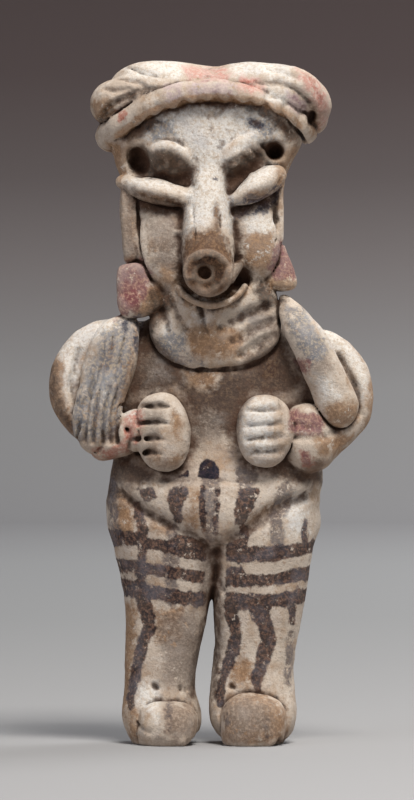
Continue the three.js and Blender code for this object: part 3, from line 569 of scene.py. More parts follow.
patch("grey_film_and_painted_shade", (5, 69), (9.8, 69.4), (10, 65.2), (6.4, 65))
# Brown painted shade in the three folds, and soil and painted shade under the chin beside the left ornament.
brush("brown_film_and_painted_shade", (8.8, 70, 0.5), (6, 68.8, 0.6), (3.4, 67.6, 0.4))
brush("brown_film_and_painted_shade", (9.8, 67.7, 0.5), (7.4, 66.7, 0.5), (4.6, 65.1, 0.3))
brush("brown_film_and_painted_shade", (10.2, 65.5, 0.5), (7.4, 63.8, 0.4))
patch("dark_earth_and_painted_shade", (-9.4, 72), (-6.8, 72.6), (-5.4, 71), (-7, 69.4), (-8.6, 67), (-10.8, 65), (-11, 68))
patch("white_slip_and_painted_highlight", (-8.4, 67), (-6.8, 67.4), (-6.6, 63.4), (-8.4, 64))
patch("white_slip_and_painted_highlight", (-2.8, 68.8), (-0.5, 68.8), (-0.5, 67), (-2.4, 67))
patch("white_slip_and_painted_highlight", (1.1, 65.7), (5, 65.7), (4.6, 64), (1.3, 64))
patch("white_slip_and_painted_highlight", (5, 69.4), (7.6, 68.6), (6, 67.6), (4, 68))

# The head: a slab of clay, wider at the brow, with a domed forehead and full cheeks, and a thin strip of clay
# down each side in front of where the ears would be.
HEAD = [
    (70, -3.6, 4.2, -4.4, 2.4),
    (72.5, -7.4, 7.2, -5.2, 3.5),
    (75, -9.8, 8.8, -6.4, 4),
    (77, -13.8, 10, -7.2, 4.3),
    (79, -14.4, 10.9, -7.6, 4.5),
    (82, -14.4, 11.1, -7.8, 4.8),
    (86, -14.4, 11.3, -7.6, 5),
    (91, -14.5, 12, -7.4, 5.2),
    (94, -15.6, 13.4, -7.6, 5.4),
    (97, -16.6, 14.8, -8.2, 5.6),
    (100, -15.4, 14, -8.6, 5.8),
    (105, -13, 12, -9, 5),
]
press(upright(HEAD, 3.2), 1.0)
press(pellet((-0.5, -4.2, 96.6), (10.8, 5.3, 7.6)), 2.0)
press(pellet((-7.6, -5.2, 80), (4.6, 3.9, 6.9), turn=4, square=2.3), 0.9)
press(pellet((-6.9, -6.2, 75.4), (1.8, 2.6, 2.9)), 0.9)
press(pellet((6.6, -5.2, 80.4), (4.4, 3.8, 6.4), square=2.3), 0.9)
press(pellet((-13.1, -4.2, 83), (1.5, 2.6, 6.6), turn=-2, square=4), 0.4)
draw([(-12, 87, 0.2), (-11.8, 83, 0.35), (-11.4, 79.6, 0.35), (-10.8, 76.8, 0.3)], 0.2, 0.3)
press(pellet((10.8, -4.2, 85.2), (0.8, 2.2, 5), square=4), 0.3)
draw([(10.4, 88.6, 0.2), (10.1, 84.6, 0.3), (10.1, 80.6, 0.3)], 0.2, 0.3)
patch("white_slip_and_painted_highlight", (-9.4, 102), (0, 104), (9.4, 101.4), (12, 97), (9, 95.6), (4, 97), (1, 94), (2.5, 90.5),
      (4.6, 86.5), (3.6, 82), (1.5, 82.6), (0.3, 84), (-2, 83), (-4.4, 82), (-4.6, 86), (-3.4, 90), (-2.4, 92.6),
      (-4, 96), (-7, 97.4), (-10.6, 96.5), (-11.6, 98))
patch("white_slip_and_painted_highlight", (5, 85), (9.6, 84.6), (10.2, 78), (6, 77.6), (4.8, 81))
# The grey on the left cheek, and the grey and tan on the left side strip, are painted shade on the side
# turned from the light; the brown down the nose's flanks is painted shade too.
patch("grey_film_and_painted_shade", (-11, 84.6), (-5.6, 84.6), (-4.8, 79), (-5.6, 76), (-9, 77))
patch("grey_film_and_painted_shade", (-14.8, 90), (-12.4, 89), (-12, 78), (-14.6, 78))
patch("tan_clay_and_painted_shade", (-14.8, 90), (-12.2, 88), (-12, 77), (-14.8, 77))
patch("tan_clay_and_painted_shade", (-8.6, 77.4), (-6, 77.4), (-5.6, 74), (-8, 74))
brush("brown_film_and_painted_shade", (-4.9, 85, 0.4), (-5.2, 80, 0.5), (-5.4, 76.4, 0.5))
brush("brown_film_and_painted_shade", (3.6, 85, 0.3), (4, 80, 0.4), (4.4, 78, 0.4))
patch("blue_grey", (-10.4, 99.4), (-6.4, 100), (-5.6, 97.6), (-9.6, 96.4))
patch("blue_grey", (4.6, 100.4), (9.4, 100), (10, 96.4), (7, 97.4))
patch("blue_grey", (2.6, 88), (5, 86.8), (4.8, 84.4), (2.8, 84.8))
patch("dark_blue", (5.8, 100), (8.4, 99.4), (8.2, 98.4), (6, 98.8))
patch("dark_blue", (0, 91.4), (1.2, 91.3), (1, 90.5), (0, 90.6))
patch("dark_blue", (3.2, 86.2), (5.4, 85.6), (6.6, 84.8), (4, 84.6))
# Soil and the painted shadow of the band along the brow under its lower edge.
patch("dark_earth_and_painted_shade", (-12.6, 99.4), (-9.4, 101.8), (-4, 103.2), (2, 103.6), (8, 102.4), (12, 99.6), (13.6, 96.4),
      (12, 96.8), (9, 100.2), (4, 102), (-3, 102.2), (-8.6, 100.4), (-12, 97))
patch("tan_clay_and_painted_shade", (-10.2, 81), (-7, 81.4), (-6.8, 78.8), (-9.8, 79))
patch("tan_clay_and_painted_shade", (5, 82), (10, 82), (10, 76.4), (5, 76.4))
# The tan on both sides of the head beside the eyes is bare clay with painted shade.
patch("tan_clay_and_painted_shade", (10, 95), (14.6, 96), (12, 91), (11.4, 84), (10.2, 86))
patch("tan_clay_and_painted_shade", (-17, 96.6), (-13, 96), (-13.6, 91), (-15.4, 88))
patch("tan_clay_and_painted_shade", (-15, 81), (-12.4, 81), (-12.2, 77), (-15, 76.6))

# Eyes: each is two lids pressed on like the halves of a coffee bean, slanting down to the nose, with a deep
# hole at its outer end. The upper lids hang forward. Their rims carry a painted highlight, and soil and painted
# shade darken the slits, the lids' lower faces and the cheek under the lower lids.
carve(pellet((-7.8, -9.8, 91.2), (6, 2.9, 4.6), turn=6), 0.9)
carve(pellet((6.4, -9.8, 91.6), (6.2, 2.9, 4.4), turn=-30), 0.9)
UPPER_LID_TIP = 46
press(pellet((-6.6, -7.1, 93.5), (4.3, 2.0, 3.8), turn=18, tip=UPPER_LID_TIP), 0.4)
press(pellet((4.4, -7.1, 94.4), (5.0, 1.9, 3.3), turn=-33, tip=UPPER_LID_TIP), 0.5)
left_lid = [(-14.3, -4.6, 90.2, 1), (-11.6, -6.8, 89.2, 1.8), (-8.6, -7.7, 88.5, 2.2), (-5.8, -8, 87.9, 1.9), (-3.4, -8, 87.5, 1.2)]
press(coil(left_lid, flat=1.2, square=1.6), 0.4, 0.2)
right_lid = [(3.9, -8, 87.5, 1.2), (6, -8.2, 88.5, 2.1), (8.2, -7.9, 89.8, 2.4), (10.1, -6.6, 91, 1.9), (11, -5, 91.8, 1)]
press(coil(right_lid, flat=1.2, square=1.6), 0.4, 0.2)
carve(coil([(-12.6, -7.6, 85.6, 0.3), (-8, -9.2, 85, 0.6), (-4.8, -9.2, 85.2, 0.5)]), 0.8)
carve(coil([(-12, -7.8, 91.9, 0.7), (-9, -8.6, 91, 0.55), (-6.4, -9, 90.6, 0.6), (-3.6, -9.4, 90.6, 1.0)]), 0.4)
carve(coil([(2, -9.2, 89.2, 0.8), (3.6, -9, 90.4, 0.6), (5.8, -8.8, 92, 0.5), (8.2, -8, 93.6, 0.7)]), 0.4)
carve(pellet((-11.9, -7, 93.4), (1.9, 4, 2.6), turn=-14), 0.6)
carve(pellet((10, -7, 95), (1.5, 3.8, 1.4)), 0.6)
for k in range(4):
    draw([(3.4 + 1.4 * k, 93.4 + 0.9 * k, 0.15), (4.6 + 1.4 * k, 92.2 + 0.9 * k, 0.15)], -0.05, 0.3)
draw([(-12.6, 88.4, 0.2), (-10, 87.6, 0.3), (-7, 86.9, 0.3), (-5, 86.6, 0.2)], 0.0, 0.4)
draw([(5, 87.2, 0.2), (7.4, 87, 0.3), (9.8, 88.4, 0.3), (11.2, 90.4, 0.2)], 0.0, 0.4)
# White slip as a painted highlight along the top rims of the upper and lower lids.
patch("white_slip_and_painted_highlight", (-10, 95.4), (-8.6, 97), (-6, 97), (-3.6, 95), (-2.6, 92.6), (-4.4, 94.4), (-6.8, 95.8))
patch("white_slip_and_painted_highlight", (0.8, 92.8), (3, 95.6), (6, 97.2), (8, 97.2), (7, 96), (4, 94.6), (1.8, 92))
patch("white_slip_and_painted_highlight", (-14.2, 91), (-6, 90.4), (-4.4, 88.4), (-9, 88.9), (-13.6, 89.2))
patch("white_slip_and_painted_highlight", (3.4, 89), (6, 91.4), (9.4, 93.4), (11.6, 92.4), (9, 90), (5.6, 88.2))
# Soil and painted shade on the upper lids' lower faces, in the slits and under the left lower lid.
patch("dark_earth_and_painted_shade", (-9.6, 95), (-6.8, 95.2), (-4, 93.8), (-2.6, 91.6), (-2.8, 89.4), (-5.4, 90), (-9, 90.8),
      (-12, 91), (-13.6, 92.6), (-13.2, 95.4), (-11, 96.2))
patch("dark_earth_and_painted_shade", (1.8, 92.8), (4.4, 94.2), (7, 95.6), (8.6, 97), (11.2, 96.8), (11.4, 94), (8, 92.8), (4.6, 90),
      (2.6, 88.6))
patch("dark_earth_and_painted_shade", (-12.6, 87.6), (-8, 87), (-4.4, 86.6), (-4.6, 85.2), (-9, 85), (-12.6, 86))
patch("dark_blue", (5.6, 88), (8, 87.8), (10, 89.6), (11, 89.6), (10.4, 86.8), (8.2, 84.8), (5.6, 85.6), (4.8, 87))
# Tan and brown painted shade on the lower lids' downward front faces, over bare clay.
patch("tan_clay_and_painted_shade", (-12, 88.6), (-8, 88.2), (-4.6, 87.2), (-5, 86), (-11, 86.4))
brush("brown_film_and_painted_shade", (-12, 88, 0.3), (-8.4, 87.2, 0.5), (-4.8, 86.6, 0.3))
patch("tan_clay_and_painted_shade", (5.4, 88.6), (9, 88.8), (8.8, 87), (5.8, 87))

# The nose: a long ridge running forward from between the brows to a tip that is broken off flat. The break
# shows the brown clay, with a deep pit in it.
mix_paint("bare_brown_clay", 6.5, ("#5a3e2b", "#86664a", "#705640"), 1.2, 1.2, 0.30, 0.93)
press(
    coil(
        [
            (-0.4, -6.2, 96, 2.6),
            (-0.8, -7.2, 92.6, 2.1),
            (-0.8, -7.6, 89.6, 2.7),
            (-0.8, -8, 86, 3.6),
            (-0.7, -9, 81.6, 4.05),
            (-0.7, -10, 78, 3.9),
        ]
    ),
    1.4,
)
crumbs = swellings(0.75, 25)
where, snout = coil([(-0.7, -6, 78, 3.8), (-0.7, -13.2, 75.5, 3.75)])
lean = math.radians(8)
cut = -14.1 - (Z[where] - 75.2) * math.tan(lean) - Y[where] + 0.22 * crumbs[where] + 0.3 * swellings(1.6, 26)[where]
press((where, np.maximum(snout, cut)), 0.25)
carve(pellet((-0.6, -14.6, 75.7), (2.6, 0.7, 2.5)), 0.6)
carve(pellet((-1.15, -14.2, 75.5), (1.3, 3, 1.3)), 0.5)
draw([(-3.2, 86, 0.15), (-2.8, 82, 0.25), (-3, 79, 0.2)], 0.05, 0.4)
draw([(1.4, 85.4, 0.15), (1.4, 82, 0.25), (1.8, 79, 0.2)], 0.05, 0.4)
patch("bare_brown_clay", (-4.4, 80.6), (-3, 82.4), (-1, 82), (0.4, 82.6), (2.2, 81.4), (3.2, 78), (3.6, 72),
      (-0.6, 70.6), (-5, 73))
brush("bare_brown_clay", (0.6, 86.4, 0.3), (0.9, 82, 0.6))
# Soil and painted shade in the hollow of the broken tip.
patch("dark_earth_and_painted_shade", (-2.8, 78.2), (0.8, 78.4), (2.2, 76.6), (1.8, 73.4), (-1.4, 72.6), (-3.4, 74.6))

# The mouth: a dark slot under the nose, over the thin rim of the lower lip, with a loose flap of clay at its
# right.
press(pellet((0.4, -4.2, 73.2), (6, 3.6, 3.4)), 0.8)
carve(pellet((0.8, -9.6, 74.2), (5.4, 3.2, 2.6)), 0.5)
carve(pellet((4.4, -8.8, 74.6), (2.3, 3.4, 2.3)), 0.5)
LIP_RADII = (0.4, 0.5, 0.55, 0.5, 0.4)
rim = arc((-0.1, 76.5), 6.1, 6.2, 6.2, -148, -30, (-7.9, -7.9), LIP_RADII)
rim = [(x, y - 2.2 * math.sin(k / 8 * math.pi), z, r) for k, (x, y, z, r) in enumerate(rim)]
press(coil(rim, flat=2.6, square=3), 0.25)
press(coil([(4.6, -7.6, 77.2, 0.5), (3.8, -9.4, 76.2, 0.6), (3.0, -10, 74.4, 0.4)], flat=1.6), 0.3)
brush("tan_clay_and_painted_shade", (-5.6, 73, 0.6), (-3.4, 71, 0.7), (0, 70.2, 0.7), (3.4, 71.2, 0.7), (5.6, 73.2, 0.6))
# Soil and painted shade in the mouth's slot, and painted shade in the hollows under the jaw on either side.
patch("dark_earth_and_painted_shade", (-5.8, 74.6), (-4.8, 77.4), (-4.6, 74), (-2, 71.8), (1.6, 71.4), (4.6, 73.2), (6.6, 74.6),
      (5.6, 77.6), (3.6, 78), (3.6, 75), (2.4, 72.8), (-0.6, 71), (-4.4, 72.4))
patch("dark_earth_and_painted_shade", (-10, 73), (-8, 74), (-7, 71.6), (-8.4, 69.8), (-10, 70.6))
patch("dark_earth_and_painted_shade", (6.8, 75), (8.6, 75), (9.2, 72.8), (12, 71.6), (11, 69.6), (8, 70.4), (6.8, 72))

# Ear ornaments: a wide wedge on the left and a drop with a thick lower rim on the right, both painted red.
press(pellet((-12.4, -6.1, 73), (2.9, 2.2, 4.4), turn=-7, square=4), 0.3, 0.25)
press(pellet((-10.6, -6.2, 71.6), (2.9, 2.1, 2.5), turn=-20, square=3), 0.6)
press(coil([(10.9, -4.7, 80, 0.8), (11.1, -4.9, 77.4, 1.5), (11.1, -4.8, 75, 2.3)], flat=0.95), 0.3, 0.25)
press(pellet((11, -5, 74.1), (2.7, 2, 1.3), turn=6, square=2.6), 0.5)
patch("mauve_slip", (-15.8, 77.4), (-11, 77.8), (-9.6, 75.4), (-10.2, 72.6), (-12, 69.4), (-15.8, 68))
patch("red_slip", (-14.6, 72), (-12, 73.4), (-11.4, 70.8), (-13.6, 69.4))
patch("tan_clay_and_painted_shade", (-10.8, 73.4), (-8, 74), (-7.6, 69), (-12, 68.4), (-11.8, 71))
patch("mauve_slip", (10.6, 81), (12.4, 79.4), (13.8, 75), (12.8, 74.4), (9.8, 74.8), (9, 76.6))
patch("red_slip", (11.4, 79), (12.6, 77.6), (13.4, 75.4), (12, 76))
patch("tan_clay_and_painted_shade", (8.6, 75), (13.8, 74.6), (13.6, 72.4), (9, 72.8))

# The headdress: a crown of puffed folds above a flat band, which arches over the forehead. Its lower edge is
# pinched into scallops and folded back, so that the bare clay under it shows.
mix_paint("bare_tan_edge", SOIL_AND_SHADE + 1, ("#96704f", "#b9977a", "#a58468"), 0.5, 0.5, 0.40, 0.8)
mix_paint("rose_slip", 6.1, ("#c58b80", "#d8bcb2", "#cdbab8"), 1.4, 1.4, 0.42, 0.75)
mix_paint("lilac_slip", 6.3, ("#b39a9e", "#cfbdb8", "#cfc6c9"), 1.4, 1.4, 0.40, 0.75)
press(pellet((0, -0.6, 103.8), (8, 8.0, 4.9), square=2.2), 0.6)
press(pellet((-7.4, -0.8, 104), (9.4, 8.4, 6.05), square=2.2), 2.0)
press(pellet((7.6, -0.8, 103.8), (9.4, 8.4, 6.05), square=2.2), 2.0)
press(coil([(-8.4, -7, 106.2, 1), (-12.4, -6.2, 105, 2.3), (-16, -3.8, 102.9, 3.3), (-15.8, 1.5, 102, 3)]), 0.5)
press(coil([(8, -7, 106, 1.4), (12.8, -6, 106, 2.6), (15.9, -3.2, 103.2, 3), (16.2, 0.6, 100.6, 2.7)]), 0.5)
BAND_RADIUS = 2.15
band = []
for turn in np.linspace(0, 2 * math.pi, 49):
    out = (math.sin(turn), -math.cos(turn))
    drop = 6.6 * (math.sin(turn) ** 2 if math.cos(turn) > 0 else 1)
    pinch = 0.14 * math.sin(17 * turn)
    band.append((-0.9 + 15.8 * out[0], -1.2 + 8.6 * out[1], 104.6 - drop + 0.47 * out[0], BAND_RADIUS + pinch))
where, roll = coil(band, steps=3)
EDGE = [
    (-17, 96.2),
    (-15, 97.2),
    (-12, 99.6),
    (-10, 100.7),
    (-8, 101.6),
    (-5.5, 102.2),
    (-4, 102.9),
    (0, 103.2),
    (3, 103.0),
    (8, 102.4),
    (10, 101.5),
    (12.5, 100.3),
    (14, 98.8),
    (16, 96.8),
]
under = np.interp(X[where], *zip(*EDGE))
under = under + 0.22 * np.sin(X[where] * 2.3) - 0.12 * (Y[where] + 11)
press((where, np.maximum(roll, 0.8 * (under - Z[where]))), 0.3, 0.2)
draw([(-18, 100.6, 0.35), (-16.5, 102.2, 0.5), (-14, 103.7, 0.5), (-11, 104.9, 0.4), (-8, 105.3, 0.2)], 0.0, 0.4)
draw([(-15.4, 106.4, 0.2), (-13, 106.2, 0.4), (-11, 105.4, 0.3)], 0.0, 0.5)
draw([(-17.6, 105, 0.2), (-15.6, 104.6, 0.4), (-13.4, 105, 0.25)], 0.0, 0.6)
draw([(-14, 108.4, 0.2), (-11, 107.6, 0.4), (-8, 107, 0.2)], 0.0, 0.8)
draw([(-3.2, 106.2, 0.2), (-2.2, 106.3, 0.35), (-1, 106.2, 0.2)], 0.1, 0.2)
draw([(6.8, 106.4, 0.2), (9, 105.7, 0.4), (11, 105.5, 0.4), (13.4, 104.6, 0.4), (15.6, 102.6, 0.45)], 0.0, 0.3)
draw([(9, 108.4, 0.2), (11.4, 107.4, 0.4), (13.6, 106.6, 0.3)], 0.0, 0.8)
draw([(15.4, 107, 0.2), (16.4, 105, 0.35), (17.4, 102.6, 0.2)], 0.0, 0.7)
carve(pellet((16.1, -5.4, 100.3), (0.7, 2.6, 1.2)), 0.4)
for x in (-14.4, -11.4, -8.6, -5.6, -2.9, 0.4, 3.4, 6.4, 9.2, 11.9, 14.4):
    z = float(np.interp(x, *zip(*EDGE))) + 0.5
    draw([(x, z + 2.2, 0.15), (x - 0.1, z + 1, 0.45), (x - 0.2, z, 0.45)], -0.25, 0.8)
brush("bare_tan_edge", *((x, z + 0.35, 0.55) for x, z in EDGE[1:-1]), back=-1)
patch("rose_slip", (-5, 108.8), (1.6, 108.6), (3, 107.6), (2.2, 106), (-4, 106.2))
patch("lilac_slip", (-7.8, 105.8), (-5, 105.8), (-4.8, 102.4), (-7.4, 102.4))
patch("lilac_slip", (-4, 105.8), (3.4, 105.8), (3.6, 103.6), (-3.6, 103.6))
patch("red_slip", (4.6, 106.4), (6.8, 106.2), (6.6, 105.2), (4.8, 105.2))
patch("rose_slip", (4, 107), (7.6, 106.6), (8.4, 104.2), (4, 104.2))
patch("red_slip", (-15.1, 101.6), (-13.6, 101.4), (-13.8, 99.8), (-15.1, 99.8))
patch("lilac_slip", (12, 104.4), (15.2, 103), (15.6, 100.8), (12.6, 101.6))
patch("mauve_slip", (13, 103.8), (14.4, 103.2), (14.2, 102.4), (13, 102.8))
patch("rose_slip", (13.4, 108.4), (18.4, 104.6), (18.8, 99.4), (17.2, 99), (16.6, 102.6), (14.6, 105))
brush("red_slip", (14.8, 107.4, 0.4), (17, 105, 0.5), (18, 102.4, 0.3))
patch("tan_clay_and_painted_shade", (15.4, 103), (17.6, 102), (17.4, 97.6), (15.6, 98))
patch("tan_clay_and_painted_shade", (-20, 103), (-17, 103.6), (-15.4, 101.4), (-18.6, 99))
patch("white_slip_and_painted_highlight", (8, 105), (12, 104.4), (11.6, 102), (8.4, 103))
patch("white_slip_and_painted_highlight", (-14, 108.4), (-8, 110.4), (-4, 109.6), (-4.6, 106.4), (-9, 106.4), (-13, 106.6))
patch("white_slip_and_painted_highlight", (3, 109.6), (9, 110.4), (13, 108.6), (12.6, 106.2), (8, 107), (3, 107))
# Soil and painted shade in the creases of the crown, in the dent at its right end and under the band's ends.
patch("dark_earth_and_painted_shade", (-18.4, 100.2), (-16.4, 102.4), (-13.8, 104), (-8.6, 105.4), (-8.6, 104.8), (-13.6, 103.2),
      (-16, 101.6), (-17.8, 99.6))
patch("dark_earth_and_painted_shade", (15.4, 102.4), (16.8, 102), (16.8, 99.2), (15.4, 99.2))
patch("dark_earth_and_painted_shade", (-14.6, 97.6), (-12.6, 99.6), (-9.4, 101), (-8.4, 99.6), (-11, 97.4), (-13, 96.4))
patch("dark_earth_and_painted_shade", (8.4, 101.4), (11, 100.6), (13.6, 98.2), (14, 96.4), (12, 96.6), (9.6, 99.4))

# The skin: the soles are cut flat, the hand's unevenness, pits and a lumpy crust are left on the clay, and
# the surface is taken off the block as a mesh.
HAND_DENTS = ((0.16, 7.0, 21), (0.08, 2.4, 22), (0.05, 0.9, 23))
for depth, size, seed in HAND_DENTS:
    clay += depth * swellings(size, seed)
clay += 0.45 * np.clip(swellings(1.1, 24) - 1.1, 0, 1)
for at, size in (
    ((-4.6, -9, 88.6), (1.6, 4, 3)),
    ((-6, -8.6, 82.4), (1.4, 4, 4.4)),
    ((3.8, -8.8, 82.6), (1.3, 4, 3.6)),
    ((-7.4, -9, 93), (4, 4, 2.4)),
    ((5.4, -9, 93), (4, 4, 2.4)),
    ((-7.4, -7, 0.6), (6, 8, 2)),
    ((7.4, -7, 0.6), (6.4, 8, 2)),
):
    where = around([a - s for a, s in zip(at, size)], [a + s for a, s in zip(at, size)])
    away = sum(((axis - a) / s) ** 2 for axis, a, s in zip((X[where], Y[where], Z[where]), at, size))
    clay[where] -= 0.3 * np.clip(crumbs[where], 0, 2) * np.clip(1.4 - 1.4 * away, 0, 1)
clay = np.maximum(clay, -axes[2][None, None, :])

MOST_TRIANGLES = 194000
grid = openvdb.FloatGrid(OPEN_AIR)
grid.copyFromArray(clay)
points, _, quads = grid.convertToPolygons(0.0, 0.0)
points = points * POINT_SPACING + np.array(BLOCK_LOW, np.float32)
fine_mesh = bpy.data.meshes.new("figure_clay")
fine_mesh.vertices.add(len(points))
fine_mesh.vertices.foreach_set("co", points.astype(np.float32).ravel())
fine_mesh.loops.add(quads.size)
fine_mesh.loops.foreach_set("vertex_index", quads.astype(np.int32).ravel())
fine_mesh.polygons.add(len(quads))
fine_mesh.polygons.foreach_set("loop_start", np.arange(0, quads.size, 4, dtype=np.int32))
fine_mesh.update(calc_edges=True)
figure = bpy.data.objects.new("figure_clay", fine_mesh)
bpy.context.scene.collection.objects.link(figure)
thin = figure.modifiers.new("thin", "DECIMATE")
thin.ratio = MOST_TRIANGLES / (2 * len(quads))
bpy.context.view_layer.update()
skin = bpy.data.meshes.new_from_object(figure.evaluated_get(bpy.context.evaluated_depsgraph_get()))
figure.modifiers.clear()
figure.data = skin
bpy.data.meshes.remove(fine_mesh)
count = len(skin.vertices)
spots = np.empty(count * 3, np.float32)
skin.vertices.foreach_get("co", spots)
spots = spots.reshape(-1, 3)
spot_x, spot_y, spot_z = spots.T


def blurred(block, reach):
    """A block smeared out three times along each axis, over a reach in millimetres to either side."""
    half = max(1, round(reach / POINT_SPACING))
    for axis in range(3):
        for _ in range(3):
            edges = [(0, 0)] * 3
            edges[axis] = (half + 1, half)
            sums = np.cumsum(np.pad(block, edges, "edge"), axis=axis, dtype=np.float32)
            ahead = np.take(sums, range(2 * half + 1, sums.shape[axis]), axis)
            behind = np.take(sums, range(0, sums.shape[axis] - 2 * half - 1), axis)
            block = (ahead - behind) / (2 * half + 1)
    return block


def sampled(block):
    """A block's values at the skin's points."""
    place = (spots - np.array(BLOCK_LOW, np.float32)) / POINT_SPACING
    first = np.clip(place.astype(int), 0, np.array(block.shape) - 2)
    t = place - first
    total = np.zeros(count, np.float32)
    for corner in np.ndindex(2, 2, 2):
        i, j, k = (first + corner).T
        weight = np.prod(np.where(corner, t, 1 - t), axis=1)
        total += weight * block[i, j, k]
    return total


def keep(name, values):
    """Keeps one number for each point of the skin, for the material."""
    skin.attributes.new(name, "FLOAT", "POINT").data.foreach_set("value", values.astype(np.float32))


# How hollow the clay is round each point, near it and further off, and how much it faces the ground.
full = np.clip(0.5 - clay / (2 * POINT_SPACING), 0, 1)
near_hollow = sampled(blurred(full, 0.55)) - 0.5
soft_form = blurred(full, 1.3)
wide_hollow = sampled(soft_form) - 0.5
far_hollow = sampled(blurred(full, 3.2)) - 0.5
slopes = np.array([sampled(slope) for slope in np.gradient(soft_form)])
facing_down = slopes[2] / (np.linalg.norm(slopes, axis=0) + 1e-6)
keep("near_hollow", near_hollow)
keep("wide_hollow", wide_hollow)
keep("far_hollow", far_hollow)
keep("facing_down", facing_down)


def distance(outline, closed):
    """How far each point of the skin is from a drawn shape, seen from the front: below zero inside it."""
    nearest = np.full(count, 1e6, np.float32)
    inside = np.zeros(count, bool)
    ends = outline[1:] + outline[:1] if closed else outline[1:]
    for a, b in zip(outline, ends):
        vx, vz = b[0] - a[0], b[1] - a[1]
        t = np.clip(((spot_x - a[0]) * vx + (spot_z - a[1]) * vz) / (vx * vx + vz * vz), 0, 1)
        away = np.hypot(spot_x - a[0] - t * vx, spot_z - a[1] - t * vz)
        if not closed:
            away -= a[2] + (b[2] - a[2]) * t
        nearest = np.minimum(nearest, away)
        if closed and a[1] != b[1]:
            between = (a[1] > spot_z) != (b[1] > spot_z)
            inside ^= between & (spot_x < a[0] + (spot_z - a[1]) * vx / vz)
    return np.where(inside, -nearest, nearest) if closed else nearest


for name, paint in paints.items():
    edge = np.full(count, OPEN_AIR, np.float32)
    for outline, closed, back in paint["marks"]:
        edge = np.minimum(edge, np.maximum(distance(outline, closed), spot_y - back))
    keep(name, edge)

# The clay's block has its own zero for depth; the CAD solid's back says where the figure's back belongs.
BACK_IN_BLOCK = 9.3
box_low, box_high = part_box("standing_figure")
shift = np.array([0, box_high.y * 1000 - BACK_IN_BLOCK, 0], np.float32)
skin.vertices.foreach_set("co", ((spots + shift) / 1000).ravel())
skin.update()
skin.shade_smooth()
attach(figure, "root")
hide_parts("standing_figure")

# The finish: low-fired buff earthenware under a thin whitish slip, painted, then worn and stained in the
# ground. It is quite matt and gritty, the slip is mottled and flakes off in small patches, and every hollow
# and overhang is darkened brown, partly by soil and partly by painted shade.
def linear(code):
    """A colour given as sRGB hex, as the linear values that the shader takes."""
    channels = [int(code[i : i + 2], 16) / 255 for i in (1, 3, 5)]
    return [c / 12.92 if c <= 0.04045 else ((c + 0.055) / 1.055) ** 2.4 for c in channels] + [1]


def add(tree, kind, inputs=(), **settings):
    """Adds a node with its settings. Inputs are values, or sockets to link."""
    node = tree.nodes.new(kind)
    for name, value in settings.items():
        setattr(node, name, value)
    for name, value in dict(inputs).items():
        if isinstance(value, bpy.types.NodeSocket):
            tree.links.new(value, node.inputs[name])
        else:
            node.inputs[name].default_value = value
    return node


earthenware = bpy.data.materials.new("painted_earthenware_slip")
earthenware.use_nodes = True
tree = earthenware.node_tree
tree.nodes.clear()
place = add(tree, "ShaderNodeTexCoord").outputs["Object"]
millimetres = add(tree, "ShaderNodeVectorMath", {0: place, "Scale": 1000}, operation="SCALE").outputs[0]
# Each unevenness is given by the size of its patches in millimetres, its detail and where it is cut from.
UNEVENNESS = {
    "clouds": (9, 3, 0),
    "stains": (4.2, 4, 31),
    "mottle": (1.7, 4, 57),
    "flakes": (0.75, 4, 83),
    "flecks": (0.5, 4, 71),
    "grit": (0.3, 2, 11),
    "wander": (1.3, 3, 5),
}
noise = {}
for name, (size, detail, start) in UNEVENNESS.items():
    moved = add(tree, "ShaderNodeVectorMath", {0: millimetres, 1: (start, start, start)}, operation="ADD").outputs[0]
    noise[name] = add(
        tree, "ShaderNodeTexNoise", {"Vector": moved, "Scale": 1 / size, "Detail": detail, "Roughness": 0.62}
    ).outputs[0]

# The slip itself: cream, greyer in clouds, with thin places where the buff clay shows through.
colour = linear("#cdbfb0")
for pattern, low, high, most, code in (
    ("clouds", 0.42, 0.62, 0.75, "#b3a293"),
    ("stains", 0.50, 0.66, 0.70, "#a4876c"),
    ("mottle", 0.50, 0.64, 0.55, "#ddd4ca"),
    ("flakes", 0.58, 0.68, 0.55, "#94755b"),
):
    share = add(
        tree, "ShaderNodeMapRange", {"Value": noise[pattern], "From Min": low, "From Max": high, "To Max": most}
    ).outputs[0]
    colour = add(tree, "ShaderNodeMix", {0: share, 6: colour, 7: linear(code)}, data_type="RGBA").outputs[2]

